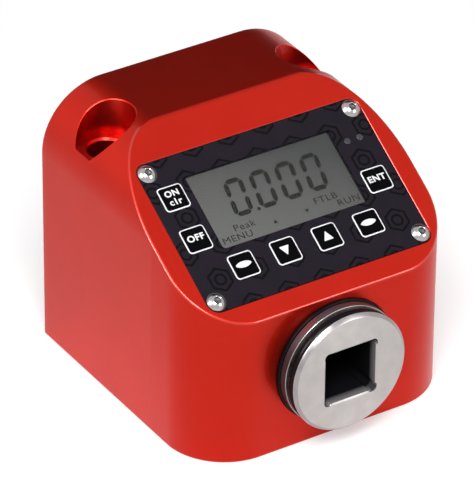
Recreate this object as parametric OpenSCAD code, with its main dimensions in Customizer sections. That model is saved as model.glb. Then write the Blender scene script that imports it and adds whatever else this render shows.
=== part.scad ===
// Bench torque tester: a machined block with a square drive in front and a display on its slanted face.
// Millimetres, +Z up, front towards -Y, origin at the middle of the footprint.

/* [Body] */
// Width across the body
body_w = 100; // [97:1:108]
// Depth of the body, front to back
body_d = 100; // [98:1:108]
// Height of the body
body_h = 94; // [92:1:100]
// Radius along the two top side edges
side_round = 23; // [18:0.5:25]
// Radius of the two front corners
front_round = 22; // [18:0.5:24]
// Height of the front face, up to the slanted face
front_h = 53; // [52:0.5:55]
// Angle of the slanted face from level
slant_deg = 31.8; // [31:0.1:33]
// Thickness of the back wall
back_wall = 8; // [7:0.5:9]
// Thickness of the wall over the upper chamber
roof_wall = 10; // [8:0.5:12]

/* [Mounting holes] */
// Bolt hole axis in from each side
bolt_side = 11.3; // [11:0.1:12]
// Bolt hole axis in from the back
bolt_back = 22.5; // [20:0.5:25]
// Diameter of the bolt holes
bolt_d = 12.4; // [11:0.1:13]
// Diameter of the counterbores
bore_d = 19.8; // [18:0.1:20.4]
// Depth of the counterbores below the top
bore_depth = 13; // [10:0.5:16]
// Diameter of the shallow ring cut into each counterbore floor
ring_d = 17; // [15.5:0.1:17.5]
// Depth of that ring
ring_depth = 0.4; // [0.2:0.1:0.8]
// Lead-in bevel of each bolt hole
bolt_bevel = 1.1; // [0.6:0.1:1.2]

/* [Square drive] */
// Height of the drive axis
drive_z = 28.8; // [27:0.1:29.5]
// How far the drive stands out of the front face
drive_reach = 10; // [9.6:0.1:12]
// Diameter of the drive disc
drive_d = 43; // [42:0.2:44]
// Bevel round the drive disc
drive_bevel = 1.1; // [0.5:0.1:1.3]
// Size of the square socket
square_size = 19.4; // [18.8:0.1:19.8]
// Radius of the relief in each corner of the square socket
relief_r = 1.6; // [1:0.1:2]
// Lead-in bevel of the square socket
square_bevel = 0.45; // [0.2:0.05:0.7]
// Depth of the square socket
square_depth = 28; // [24:0.5:30]
// Width of the groove that holds the rubber ring
groove_w = 4.2; // [3.8:0.1:4.4]
// Width of the land in front of the groove, bevel included
front_land = 1.5; // [1.4:0.1:2]
// Thickness of the rubber ring
ring_t = 4; // [3.6:0.1:4.1]
// Diameter of the journal that runs in the bush
journal_d = 34; // [33:0.5:35]
// Width of the square gauged bar
bar_w = 19; // [18:0.5:20]
// Bore through the gauged bar
bar_bore = 12; // [10:0.5:13]
// Diameter of the inner flange
flange_d = 39.8; // [39.4:0.1:39.9]
// Thickness of the inner flange
flange_t = 10; // [8:0.5:11]
// Thickness of the wall that the inner flange bolts to
bulkhead_t = 8; // [7:0.5:9]
// Length of the front bush
bush_len = 10; // [8:0.5:12]
// Outer diameter of the bush and of the bore behind it
bush_d = 40; // [40:0.1:41]
// How far the shaft seal stands out of the front face
seal_out = 1.3; // [0.9:0.1:1.4]
// How deep the shaft seal sits in the front face
seal_in = 2; // [1.5:0.1:3]
// Diameter of the shaft seal
seal_d = 44.2; // [43.6:0.1:44.6]
// Circle of the flange bolts
flange_bolt_circle = 29; // [28:0.5:30]

/* [Panel] */
// Gap between each side of the body and the panel's recess
panel_side = 7.15; // [6.8:0.05:7.4]
// Height of the recess, up the slanted face
panel_h = 56.8; // [56.4:0.1:57.6]
// Corner radius of the recess
panel_round = 4; // [3:0.1:5]
// Gap between the slanted face's front edge and the recess
panel_low = 7.1; // [6.5:0.1:8]
// Depth of the recess
panel_recess = 1.6; // [1.6:0.1:2]
// Thickness of the backing plate
plate_t = 1.2; // [1:0.1:1.2]
// Thickness of the printed overlay
overlay_t = 0.3; // [0.2:0.05:0.35]
// Panel screw axis in from the recess side
screw_side = 3.55; // [3.4:0.05:3.8]
// Panel screw axis in from the recess top and bottom
screw_end = 3.85; // [3.6:0.05:4]
// Diameter of the panel screw heads
screw_head_d = 6.4; // [5.8:0.1:6.6]
// Height of the panel screw heads
screw_head_h = 1.9; // [1.6:0.1:2.2]
// Diameter of the panel screws
screw_d = 3; // [2.6:0.1:3.2]
// Depth of the display pocket below the slanted face
pocket_depth = 9; // [8.8:0.1:9.4]
// Gap between each side of the panel and the window
window_side = 15.15; // [14.85:0.05:15.85]
// Height of the display window
window_h = 28; // [27:0.2:28.6]
// Gap between the window and the top of the panel
window_top = 8.55; // [8:0.05:9]

/* [Keys] */
// Width of a key
key_w = 9.2; // [8.8:0.1:9.6]
// Height of a key
key_h = 9; // [8.6:0.1:9.4]
// Corner radius of a key
key_round = 1.3; // [0.8:0.1:2]
// Distance between neighbouring keys
key_spacing = 16; // [15.4:0.1:16.2]
// Key columns in from the panel sides
key_side = 8.05; // [7.9:0.05:8.4]
// Bottom row of keys up from the panel bottom
key_low = 12.9; // [12.4:0.1:13.2]
// How far a key travels
key_travel = 0.4; // [0.2:0.05:0.45]
// Rise from the bottom row of keys to the side keys
key_step = 13.5; // [13.4:0.1:14]
// How far a key stands above the overlay
key_proud = 0.15; // [0.05:0.05:0.3]

/* [Electronics] */
// Thickness of the circuit boards
board_t = 1.4; // [1:0.1:1.6]
// Gap between the main board and the battery tray
tray_lift = 2; // [1:0.5:4]
// Diameter of a battery cell
cell_d = 10.5; // [10:0.1:10.7]
// Thickness of the battery tray
tray_t = 1.2; // [1:0.1:1.6]
// Thickness of the base cover
cover_t = 2; // [1.5:0.1:2.4]
// Thickness of the base gasket
gasket_t = 0.6; // [0.4:0.1:0.8]
// Thickness of the rear plate
rear_plate_t = 1.6; // [1.2:0.1:1.8]
// Width of the rear plate
rear_plate_w = 46; // [44:0.5:46]
// Height of the rear plate
rear_plate_h = 26; // [25:0.5:28]
// Height of the rear plate's middle
rear_plate_z = 30; // [29:0.5:31]

/* [Hidden] */
$fn = 96;

red = [0.76, 0.13, 0.10];
steel = [0.80, 0.79, 0.77];
black = [0.10, 0.10, 0.11];
dark = [0.17, 0.16, 0.19];
grey = [0.55, 0.56, 0.55];
board_green = [0.10, 0.36, 0.22];
bronze = [0.72, 0.52, 0.28];

// Fits and overruns
cut = 1;
fit = 0.15;
slip = 0.05;
screw_gap = 0.05;
hole_gap = 0.25;
board_clear = 0.3;

// Places on the body
y_front = (drive_reach - body_d) / 2;
y_back = y_front + body_d;
bolt_x = body_w / 2 - bolt_side;
bolt_y = y_back - bolt_back;
bolt_floor_z = body_h - bore_depth;

// Rear chamber between the two bolt columns, open underneath
column_wall = 4.3;
chamber_w = 2 * (bolt_x - bore_d / 2 - column_wall);
chamber_d = 27;
chamber_y1 = y_back - back_wall;
chamber_y0 = chamber_y1 - chamber_d;
chamber_top = body_h - roof_wall;

// Upper chamber, which joins the rear chamber to the display pocket
upper_floor_wall = 5;
upper_z0 = drive_z + bush_d / 2 + upper_floor_wall;
upper_h = 20;
upper_d = 22;

// Base cover in its seat round the chamber's mouth
cover_lap = 5.5;
cover_back_lap = 4;
cover_front_lap = 5;
cover_sunk = 0.2;
cover_w = chamber_w + 2 * cover_lap;
cover_d = chamber_d + cover_front_lap + cover_back_lap;
cover_y = chamber_y0 - cover_front_lap + cover_d / 2;
cover_round = 4;
cover_seat = cover_sunk + cover_t + gasket_t;
cover_screw_d = 2.5;
cover_screw_len = 8;
cover_head_d = 4.6;
cover_head_h = 1.1;
cover_screw_side = 2.8;
cover_screw_end = 3.2;
cover_screw_x = cover_w / 2 - cover_screw_side;
cover_screw_y = cover_d / 2 - cover_screw_end;

// Panel frame: u across, v up the slanted face from the middle of the panel, w outwards
panel_v = panel_low + panel_h / 2;
panel_w = body_w - 2 * panel_side;
window_w = panel_w - 2 * window_side;
plate_w = panel_w - 2 * fit;
plate_h = panel_h - 2 * fit;
plate_round = panel_round - fit;
plate_top = plate_t - panel_recess;
overlay_top = plate_top + overlay_t;
screw_u = panel_w / 2 - screw_side;
screw_v = panel_h / 2 - screw_end;
screw_len = 8;
screw_hole_len = 9;
screw_socket_d = 2.6;
screw_socket_h = 1.2;
window_v = panel_h / 2 - window_top - window_h / 2;
window_round = 1.2;

// Keys, each held at rest by a flange under the plate
key_u = panel_w / 2 - key_side;
key_row_v = key_low - panel_h / 2;
side_key_v = key_row_v + key_step;
key_gap = 0.2;
key_flange = 0.6;
key_flange_t = 0.5;
key_seat_gap = 0.05;
key_flange_top = -panel_recess - key_seat_gap;
key_bottom = key_flange_top - key_flange_t;
dome_gap = 0.05;
dome_t = 0.25;
dome_d = 6;
dome_hole_d = 1.5;
keypad_t = 1;
keypad_top = key_bottom - key_travel - dome_gap - dome_t;
keypad_bottom = keypad_top - keypad_t;
key_places = [
    [-key_u, side_key_v + key_spacing],
    [-key_u, side_key_v],
    [key_u, side_key_v],
    [-3 * key_spacing / 2, key_row_v],
    [-key_spacing / 2, key_row_v],
    [key_spacing / 2, key_row_v],
    [3 * key_spacing / 2, key_row_v]];

// Display pocket: a main well, and a shallow shelf at each side that carries the keypad board
pocket_side = 7.35;
pocket_end = 4.7;
pocket_w = panel_w - 2 * pocket_side;
pocket_h = panel_h - 2 * pocket_end;
shelf_edge = 2.1;
shelf_over = 6.3;
shelf_under = 7;
shelf_w = panel_w - 2 * shelf_edge;
shelf_v0 = side_key_v - shelf_under;
shelf_v1 = side_key_v + key_spacing + shelf_over;

// Window lens, display module and its board
lens_lap = 1.3;
lens_t = 1;
lens_w = window_w + 2 * lens_lap;
lens_h = window_h + 2 * lens_lap;
bezel_gap = 0.1;
bezel_wall = 1.2;
bezel_inset = 0.3;
bezel_h = 2.7;
bezel_top = -panel_recess - bezel_gap;
bezel_open_w = window_w + 2 * bezel_inset;
bezel_open_h = window_h + 2 * bezel_inset;
bezel_w = bezel_open_w + 2 * bezel_wall;
bezel_d = bezel_open_h + 2 * bezel_wall;
glass_sunk = 0.4;
glass_t = 1.4;
glass_gap = 0.1;
glass_w = bezel_open_w - 2 * glass_gap;
glass_h = bezel_open_h - 2 * glass_gap;
display_board_top = bezel_top - bezel_h;
display_board_bottom = display_board_top - board_t;
display_board_w = pocket_w - 2 * board_clear;
display_board_h = pocket_h - 2 * board_clear;
chip_t = 1.2;
ribbon_header_t = 1.6;
ribbon_header_d = 4;
ribbon_header_v = 14;
ribbon_w = 16;

// Board spacers between the keys
spacer_d = 4;
spacer_hole_d = 2.1;
board_screw_d = 2;
board_screw_head_d = 3.6;
board_screw_head_h = 1.3;
board_screw_grip = 1.8;
spacer_off = 3.2;
spacer_side_u = bezel_w / 2 + spacer_off;
spacer_places = [
    [-key_spacing, key_row_v],
    [key_spacing, key_row_v],
    [-spacer_side_u, window_v],
    [spacer_side_u, window_v]];

// Two small lamps beside the window
lamp_v = side_key_v + key_spacing;
lamp_d = 2.4;
lamp_step = 4.8;
lamp_shift = 0.3;
lamp_u = key_u - lamp_step / 2 - lamp_shift;
lamp_proud = 0.3;
lamp_foot_t = 0.3;
led_w = 1.6;
led_t = 0.9;
lamp_places = [[lamp_u, lamp_v], [lamp_u + lamp_step, lamp_v]];

// Transducer along the drive axis, z outwards from the front face
bore_len = chamber_y0 - bulkhead_t - y_front;
groove_z1 = drive_reach - front_land;
groove_z0 = groove_z1 - groove_w;
ring_squeeze = 0.1;
ring_middle_r = drive_d / 2 - ring_squeeze - ring_t / 2;
groove_floor_r = ring_middle_r - ring_t / 2;
seal_gap = 0.1;
journal_tail = 3;
journal_z0 = drive_reach - square_depth - journal_tail;
bar_len = bore_len + journal_z0 - flange_t;
flange_screw_count = 6;
flange_screw_d = 5;
flange_screw_grip = 7;
flange_head_d = 8.5;
flange_head_h = 3.6;
flange_socket_d = 4;
flange_socket_h = 2.4;
lead_hole_d = 4.4;
lead_d = 3.2;
gauge_w = 6;
gauge_len = 9;
gauge_t = 0.25;

// Main board on spacers behind the back wall
board_stand = 4;
main_board_y1 = chamber_y1 - board_stand;
main_board_y0 = main_board_y1 - board_t;
main_board_z0 = 8;
tray_back_h = 24.4;
tray_roof_gap = 0.6;
tray_z0 = chamber_top - tray_roof_gap - tray_back_h;
main_board_h = tray_z0 - tray_lift - main_board_z0;
main_board_w = chamber_w - 2 * board_clear;
main_screw_in = 3.6;
main_screw_x = main_board_w / 2 - main_screw_in;
main_screw_top_in = 9;
main_screw_zs = [main_board_z0 + main_screw_in, main_board_z0 + main_board_h - main_screw_top_in];
main_spacer_d = 5;
main_screw_d = 2.5;
main_screw_len = 9;
main_screw_head_d = 4.6;
main_screw_head_h = 1.6;
main_header_h = 4;
main_header_len = 5;
main_header_z = main_board_z0 + main_board_h - main_header_h;
lead_socket_w = 10;
lead_socket_h = 6;
lead_socket_len = 5;
lead_z = drive_z + flange_bolt_circle / 2;

// Battery tray above the main board
cell_gap = 0.1;
tray_gap = 0.3;
tray_side_gap = 0.45;
contact_t = 0.4;
contact_w = 8;
tray_in_w = chamber_w - 2 * tray_side_gap - 2 * tray_t;
cell_len = tray_in_w - 2 * contact_t - 4 * cell_gap;
tray_in_d = 2 * cell_d + 3 * cell_gap;
tray_side_h = 14;
tray_y0 = chamber_y0;
cell_y = [for (i = [0, 1]) tray_y0 + tray_t + cell_gap + cell_d / 2 + i * (cell_d + cell_gap)];
cell_z = [for (i = [0, 1]) tray_z0 + tray_t + cell_gap + cell_d / 2 + i * (cell_d + cell_gap)];
tray_screw_d = 2;
tray_screw_len = 5;
tray_screw_head_d = 3;
tray_screw_head_h = 1.2;
tray_screw_x = 15;
tray_screw_z = tray_z0 + tray_back_h - tray_screw_head_d / 2 - tray_gap;
battery_lead_d = 1;
battery_lead_x = cell_len / 2 + cell_gap + contact_t / 2;
battery_lead_low = 3.5;
battery_lead_z = main_board_z0 + main_board_h - battery_lead_low;
lead_slot_d = 2;

// Rear plate with the charging jack and the data port
rear_plate_sunk = 0.2;
rear_plate_round = 3;
rear_seat = rear_plate_t + rear_plate_sunk;
rear_screw_in = 3.2;
rear_screw_d = 2.5;
rear_screw_len = 4.5;
rear_head_d = 4.4;
rear_head_h = 1;
jack_x = -11;
jack_d = 11;
jack_hole_d = 6;
jack_pin_d = 2.1;
jack_hole_depth = 9;
jack_pin_len = 8;
port_x = 10;
port_w = 12;
port_h = 11;
port_hole_w = 8.6;
port_hole_h = 7.8;
port_hole_round = 1.4;
port_tongue_w = 5.6;
port_tongue_h = 3.2;
port_depth = 9;
port_len = y_back - rear_plate_sunk - main_board_y1;

module rounded_rect(w, h, r) {
    square([w - 2 * r, h], center = true);
    square([w, h - 2 * r], center = true);
    for (x = [-1, 1], y = [-1, 1])
        translate([x * (w / 2 - r), y * (h / 2 - r)])
            circle(r);
}

module slab(w, h, r, t) {
    linear_extrude(t) rounded_rect(w, h, r);
}

module box(w, d, h) {
    translate([-w / 2, -d / 2, 0]) cube([w, d, h]);
}

// Panel frame
module on_slant(u = 0, v = 0, w = 0) {
    translate([0, y_front, front_h])
        rotate([slant_deg, 0, 0])
            translate([u, panel_v + v, w])
                children();
}

// Drive frame, z outwards
module on_drive(z = 0) {
    translate([0, y_front, drive_z])
        rotate([90, 0, 0])
            translate([0, 0, z])
                children();
}

// Back face frame, z outwards
module on_back(x, z, out = 0) {
    translate([x, y_back + out, z])
        rotate([-90, 0, 0])
            children();
}

module at_corners(x, y) {
    for (a = [-1, 1], b = [-1, 1])
        translate([a * x, b * y, 0])
            children();
}

// Straight round rod from p to q, both in the plane across X
module rod(p, q, d) {
    run = [q[1] - p[1], q[2] - p[2]];
    translate(p)
        rotate([-atan2(run[0], run[1]), 0, 0])
            cylinder(d = d, h = norm(run));
}

// Countersunk screw with its head's flat face at z = 0, pointing up, and a hexagon socket in it
module countersunk(head_d, head_h, d, len) {
    difference() {
        union() {
            cylinder(d1 = head_d, d2 = d, h = head_h);
            cylinder(d = d, h = len);
        }
        translate([0, 0, -cut]) cylinder(d = 2 * d / 3, h = head_h + cut, $fn = 6);
    }
}

module body_profile() {
    translate([-body_w / 2, 0]) square([body_w, body_h - side_round]);
    translate([side_round - body_w / 2, 0]) square([body_w - 2 * side_round, body_h]);
    for (s = [-1, 1])
        translate([s * (body_w / 2 - side_round), body_h - side_round])
            circle(side_round);
}

module body_plan() {
    translate([-body_w / 2, y_front + front_round]) square([body_w, body_d - front_round]);
    translate([front_round - body_w / 2, y_front]) square([body_w - 2 * front_round, body_d]);
    for (s = [-1, 1])
        translate([s * (body_w / 2 - front_round), y_front + front_round])
            circle(front_round);
}

module body_block() {
    difference() {
        intersection() {
            translate([0, y_back, 0])
                rotate([90, 0, 0])
                    linear_extrude(body_d) body_profile();
            linear_extrude(body_h) body_plan();
        }
        translate([0, y_front, front_h])
            rotate([slant_deg, 0, 0])
                translate([-body_w / 2 - cut, -cut, 0])
                    cube([body_w + 2 * cut, 2 * body_d, body_h]);
    }
}

// Counterbored bolt hole on its own axis
module bolt_hole() {
    translate([0, 0, -cut]) cylinder(d = bolt_d, h = body_h);
    translate([0, 0, bolt_floor_z]) cylinder(d = bore_d, h = bore_depth + cut);
    translate([0, 0, bolt_floor_z - ring_depth]) cylinder(d = ring_d, h = ring_depth + cut);
    translate([0, 0, bolt_floor_z - ring_depth - bolt_bevel])
        cylinder(d1 = bolt_d, d2 = bolt_d + 2 * bolt_bevel, h = bolt_bevel);
}

module display_pocket() {
    on_slant(w = -panel_recess) slab(panel_w, panel_h, panel_round, panel_recess + cut);
    on_slant(w = -pocket_depth) box(pocket_w, pocket_h, pocket_depth);
    on_slant(v = (shelf_v0 + shelf_v1) / 2, w = keypad_bottom)
        box(shelf_w, shelf_v1 - shelf_v0, -keypad_bottom);
    on_slant(w = -panel_recess - screw_hole_len)
        at_corners(screw_u, screw_v)
            cylinder(d = screw_d + 2 * screw_gap, h = screw_hole_len + cut);
}

module drive_bore() {
    on_drive(-seal_in) cylinder(d = seal_d, h = seal_in + cut);
    on_drive(-bore_len) cylinder(d = bush_d, h = bore_len);
    on_drive(-bore_len - bulkhead_t - cut) {
        flange_circle() cylinder(d = flange_screw_d + 2 * hole_gap, h = bulkhead_t + 2 * cut);
        lead_place() cylinder(d = lead_hole_d, h = bulkhead_t + 2 * cut);
    }
}

module flange_circle() {
    for (i = [0 : flange_screw_count - 1])
        rotate(i * 360 / flange_screw_count)
            translate([flange_bolt_circle / 2, 0, 0])
                children();
}

module lead_place() {
    translate([0, flange_bolt_circle / 2, 0]) children();
}

module chambers() {
    translate([-chamber_w / 2, chamber_y0, -cut])
        cube([chamber_w, chamber_d, chamber_top + cut]);
    translate([-chamber_w / 2, chamber_y0 - upper_d, upper_z0])
        cube([chamber_w, upper_d + cut, upper_h]);
}

module base_seat() {
    translate([0, cover_y, -cut]) slab(cover_w, cover_d, cover_round, cover_seat + cut);
    translate([0, cover_y, 0])
        at_corners(cover_screw_x, cover_screw_y)
            cylinder(d = cover_screw_d + 2 * screw_gap, h = cover_sunk + cover_screw_len + cut);
}

module rear_openings() {
    on_back(0, rear_plate_z, -rear_seat)
        slab(rear_plate_w, rear_plate_h, rear_plate_round, rear_seat + cut);
    on_back(jack_x, rear_plate_z, -back_wall - cut)
        cylinder(d = jack_d + 2 * board_clear, h = back_wall + cut);
    on_back(port_x, rear_plate_z, -back_wall - cut)
        box(port_w + 2 * board_clear, port_h + 2 * board_clear, back_wall + cut);
    on_back(0, rear_plate_z, -rear_plate_sunk - rear_screw_len - cut)
        at_corners(rear_plate_w / 2 - rear_screw_in, rear_plate_h / 2 - rear_screw_in)
            cylinder(d = rear_screw_d + 2 * screw_gap, h = rear_screw_len + cut);
}

module main_screw_holes() {
    grip = main_screw_len - board_stand - board_t;
    for (x = [-main_screw_x, main_screw_x], z = main_screw_zs)
        on_back(x, z, -back_wall)
            translate([0, 0, -cut])
                cylinder(d = main_screw_d + 2 * screw_gap, h = grip + 2 * cut);
}

module tray_screw_holes() {
    for (x = [-tray_screw_x, tray_screw_x])
        translate([x, tray_y0 - tray_screw_len, tray_screw_z])
            rotate([-90, 0, 0])
                cylinder(d = tray_screw_d + 2 * screw_gap, h = tray_screw_len + cut);
}

module housing() {
    color(red)
        difference() {
            body_block();
            for (s = [-1, 1])
                translate([s * bolt_x, bolt_y, 0]) bolt_hole();
            display_pocket();
            drive_bore();
            chambers();
            base_seat();
            rear_openings();
            main_screw_holes();
            tray_screw_holes();
        }
}

module base_cover() {
    color(black)
        translate([0, cover_y, cover_sunk])
            difference() {
                slab(cover_w - 2 * fit, cover_d - 2 * fit, cover_round - fit, cover_t);
                translate([0, 0, -cut])
                    at_corners(cover_screw_x, cover_screw_y) {
                        cylinder(d = cover_screw_d + 2 * hole_gap, h = cover_t + 2 * cut);
                        cylinder(d = cover_head_d + 2 * fit, h = cover_head_h + cut + fit);
                    }
            }
}

module base_gasket() {
    color(dark)
        translate([0, cover_y, cover_sunk + cover_t])
            difference() {
                slab(cover_w - 2 * fit, cover_d - 2 * fit, cover_round - fit, gasket_t);
                translate([0, (cover_front_lap - cover_back_lap) / 2, -cut])
                    box(chamber_w, chamber_d, gasket_t + 2 * cut);
                translate([0, 0, -cut])
                    at_corners(cover_screw_x, cover_screw_y)
                        cylinder(d = cover_screw_d + 2 * hole_gap, h = gasket_t + 2 * cut);
            }
}

module base_cover_screws() {
    color(steel)
        translate([0, cover_y, cover_sunk])
            at_corners(cover_screw_x, cover_screw_y)
                countersunk(cover_head_d, cover_head_h, cover_screw_d, cover_screw_len);
}

module key_holes(extra) {
    for (p = key_places)
        translate(p) rounded_rect(key_w + 2 * extra, key_h + 2 * extra, key_round + extra);
}

module panel_outline() {
    difference() {
        rounded_rect(plate_w, plate_h, plate_round);
        key_holes(key_gap);
        for (p = lamp_places)
            translate(p) circle(d = lamp_d + 2 * fit);
        for (x = [-screw_u, screw_u], y = [-screw_v, screw_v])
            translate([x, y]) circle(d = screw_d + 2 * hole_gap);
    }
}

module faceplate() {
    color(black)
        on_slant(w = -panel_recess)
            linear_extrude(plate_t)
                difference() {
                    panel_outline();
                    translate([0, window_v])
                        square([lens_w + 2 * fit, lens_h + 2 * fit], center = true);
                }
}

module overlay() {
    color(dark)
        on_slant(w = plate_top)
            linear_extrude(overlay_t)
                difference() {
                    panel_outline();
                    translate([0, window_v]) rounded_rect(window_w, window_h, window_round);
                }
}

module panel_screw() {
    dome_r = (screw_head_d * screw_head_d / 4 + screw_head_h * screw_head_h) / (2 * screw_head_h);
    difference() {
        intersection() {
            translate([0, 0, screw_head_h - dome_r]) sphere(dome_r);
            cylinder(d = screw_head_d, h = screw_head_h);
        }
        translate([0, 0, screw_head_h - screw_socket_h])
            cylinder(d = screw_socket_d, h = screw_socket_h + cut, $fn = 6);
    }
    translate([0, 0, -screw_len]) cylinder(d = screw_d, h = screw_len);
}

module panel_screws() {
    color(steel)
        on_slant(w = overlay_top)
            at_corners(screw_u, screw_v)
                panel_screw();
}

module window_lens() {
    color([0.7, 0.72, 0.72, 0.4])
        on_slant(v = window_v, w = plate_top - lens_t) box(lens_w, lens_h, lens_t);
}

module lcd_bezel() {
    color(black)
        on_slant(v = window_v, w = bezel_top - bezel_h)
            difference() {
                box(bezel_w, bezel_d, bezel_h);
                translate([0, 0, -cut]) box(bezel_open_w, bezel_open_h, bezel_h + 2 * cut);
            }
}

module lcd_glass() {
    color(grey)
        on_slant(v = window_v, w = bezel_top - glass_sunk - glass_t) box(glass_w, glass_h, glass_t);
}

module lcd_backlight() {
    color("white")
        on_slant(v = window_v, w = display_board_top)
            box(glass_w, glass_h, bezel_h - glass_sunk - glass_t);
}

module display_board() {
    color(board_green)
        on_slant(w = display_board_bottom)
            difference() {
                box(display_board_w, display_board_h, board_t);
                for (p = spacer_places)
                    translate([p[0], p[1], -cut])
                        cylinder(d = board_screw_d + 2 * fit, h = board_t + 2 * cut);
            }
}

module display_chips() {
    chip_w = 12;
    chip_left = 15;
    driver_w = 8;
    driver_h = 14;
    driver_right = 12;
    driver_low = 5;
    color(black) {
        on_slant(-chip_left, 0, display_board_bottom - chip_t) box(chip_w, chip_w, chip_t);
        on_slant(driver_right, -driver_low, display_board_bottom - chip_t)
            box(driver_w, driver_h, chip_t);
        on_slant(0, ribbon_header_v, display_board_bottom - ribbon_header_t)
            box(ribbon_w, ribbon_header_d, ribbon_header_t);
    }
}

module keypad_board() {
    color(board_green)
        on_slant(w = keypad_bottom)
            linear_extrude(keypad_t)
                difference() {
                    union() {
                        square([pocket_w - 2 * board_clear, pocket_h - 2 * board_clear], center = true);
                        translate([board_clear - shelf_w / 2, shelf_v0 + board_clear])
                            square([shelf_w - 2 * board_clear, shelf_v1 - shelf_v0 - 2 * board_clear]);
                    }
                    translate([0, window_v])
                        square([bezel_w + 2 * board_clear, bezel_d + 2 * board_clear], center = true);
                    for (p = spacer_places)
                        translate(p) circle(d = spacer_d + 2 * hole_gap);
                }
}

module snap_domes() {
    color(steel)
        for (p = key_places)
            on_slant(p[0], p[1], keypad_top)
                difference() {
                    cylinder(d1 = dome_d, d2 = dome_d - 4 * dome_t, h = dome_t);
                    translate([0, 0, -cut]) cylinder(d = dome_hole_d, h = dome_t + 2 * cut);
                }
}

module key(place) {
    color(black) {
        on_slant(place[0], place[1], key_flange_top)
            slab(key_w, key_h, key_round, overlay_top + key_proud - key_flange_top);
        on_slant(place[0], place[1], key_bottom)
            slab(key_w + 2 * key_flange, key_h + 2 * key_flange, key_round, key_flange_t);
    }
}

module key_on() {
    key(key_places[0]);
}

module key_off() {
    key(key_places[1]);
}

module key_enter() {
    key(key_places[2]);
}

module key_soft_left() {
    key(key_places[3]);
}

module key_down() {
    key(key_places[4]);
}

module key_up() {
    key(key_places[5]);
}

module key_soft_right() {
    key(key_places[6]);
}

module board_spacers() {
    spacer_len = -panel_recess - display_board_top;
    color(steel)
        for (p = spacer_places)
            on_slant(p[0], p[1], display_board_top)
                difference() {
                    cylinder(d = spacer_d, h = spacer_len);
                    translate([0, 0, -cut]) cylinder(d = spacer_hole_d, h = board_screw_grip + cut + fit);
                }
}

module board_screws() {
    color(steel)
        for (p = spacer_places)
            on_slant(p[0], p[1], display_board_bottom) {
                cylinder(d = board_screw_d, h = board_t + board_screw_grip);
                translate([0, 0, -board_screw_head_h])
                    cylinder(d = board_screw_head_d, h = board_screw_head_h);
            }
}

module indicator_lenses() {
    color([0.6, 0.6, 0.63])
        for (p = lamp_places)
            on_slant(p[0], p[1], -panel_recess) {
                cylinder(d = lamp_d, h = panel_recess + overlay_top);
                translate([0, 0, panel_recess + overlay_top])
                    cylinder(d1 = lamp_d, d2 = lamp_d / 2, h = lamp_proud);
                translate([0, 0, -lamp_foot_t]) cylinder(d = lamp_d, h = lamp_foot_t);
            }
}

module status_lamps() {
    color("white")
        for (p = lamp_places)
            on_slant(p[0], p[1], keypad_top) box(led_w, led_w, led_t);
}

// Turned outline of the drive end, radius against distance along the axis
module drive_outline() {
    disc_r = drive_d / 2;
    polygon([
        [0, journal_z0],
        [journal_d / 2, journal_z0],
        [journal_d / 2, seal_out + seal_gap],
        [disc_r, seal_out + seal_gap],
        [disc_r, groove_z0],
        [groove_floor_r, groove_z0],
        [groove_floor_r, groove_z1],
        [disc_r, groove_z1],
        [disc_r, drive_reach - drive_bevel],
        [disc_r - drive_bevel, drive_reach],
        [0, drive_reach]]);
}

module transducer() {
    color(steel)
        on_drive()
            difference() {
                union() {
                    rotate_extrude() drive_outline();
                    translate([0, 0, -bore_len]) box(bar_w, bar_w, bore_len + journal_z0);
                    translate([0, 0, -bore_len]) cylinder(d = flange_d, h = flange_t);
                }
                translate([0, 0, drive_reach - square_depth])
                    linear_extrude(square_depth + cut) square_outline();
                square_lead_in();
                translate([0, 0, -bore_len - cut]) cylinder(d = bar_bore, h = bore_len + cut);
                translate([0, 0, -bore_len - cut]) {
                    flange_circle()
                        cylinder(d = flange_screw_d + 2 * screw_gap, h = flange_screw_grip + 2 * cut);
                    lead_place() cylinder(d = lead_hole_d, h = flange_t + 2 * cut);
                }
            }
}

// Square with a round relief in each corner, which reaches as far out as the lead-in
module square_outline() {
    relief_x = square_size / 2 + square_bevel - relief_r;
    square(square_size, center = true);
    for (x = [-relief_x, relief_x], y = [-relief_x, relief_x])
        translate([x, y]) circle(relief_r);
}

// Bevel round the mouth of the socket, cut by four wedges between the reliefs
module square_lead_in() {
    half = square_size / 2;
    run = half + square_bevel - relief_r;
    for (i = [0 : 3])
        rotate(i * 90)
            translate([-run, 0, drive_reach])
                rotate([90, 0, 90])
                    linear_extrude(2 * run)
                        polygon([
                            [half - square_bevel, -square_bevel],
                            [half, -square_bevel],
                            [half + square_bevel, 0],
                            [half + square_bevel, cut],
                            [half - square_bevel, cut]]);
}

module drive_ring() {
    color(black)
        on_drive((groove_z0 + groove_z1) / 2)
            rotate_extrude()
                translate([ring_middle_r, 0]) circle(d = ring_t);
}

module front_bush() {
    color(bronze)
        on_drive(-seal_in - bush_len)
            difference() {
                cylinder(d = bush_d - 2 * slip, h = bush_len);
                translate([0, 0, -cut]) cylinder(d = journal_d + 2 * slip, h = bush_len + 2 * cut);
            }
}

module shaft_seal() {
    color(black)
        on_drive(-seal_in)
            difference() {
                cylinder(d = seal_d - 2 * slip, h = seal_in + seal_out);
                translate([0, 0, -cut])
                    cylinder(d = journal_d + 2 * slip, h = seal_in + seal_out + 2 * cut);
            }
}

module strain_gauges() {
    color([0.75, 0.55, 0.25])
        for (a = [0 : 90 : 270])
            on_drive(journal_z0 - bar_len / 2)
                rotate(a)
                    translate([-gauge_w / 2, bar_w / 2, -gauge_len / 2])
                        cube([gauge_w, gauge_t, gauge_len]);
}

module transducer_screws() {
    color(steel)
        on_drive(-bore_len - bulkhead_t)
            flange_circle() {
                cylinder(d = flange_screw_d, h = bulkhead_t + flange_screw_grip);
                difference() {
                    translate([0, 0, -flange_head_h]) cylinder(d = flange_head_d, h = flange_head_h);
                    translate([0, 0, -flange_head_h - cut])
                        cylinder(d = flange_socket_d, h = flange_socket_h + cut, $fn = 6);
                }
            }
}

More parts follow.
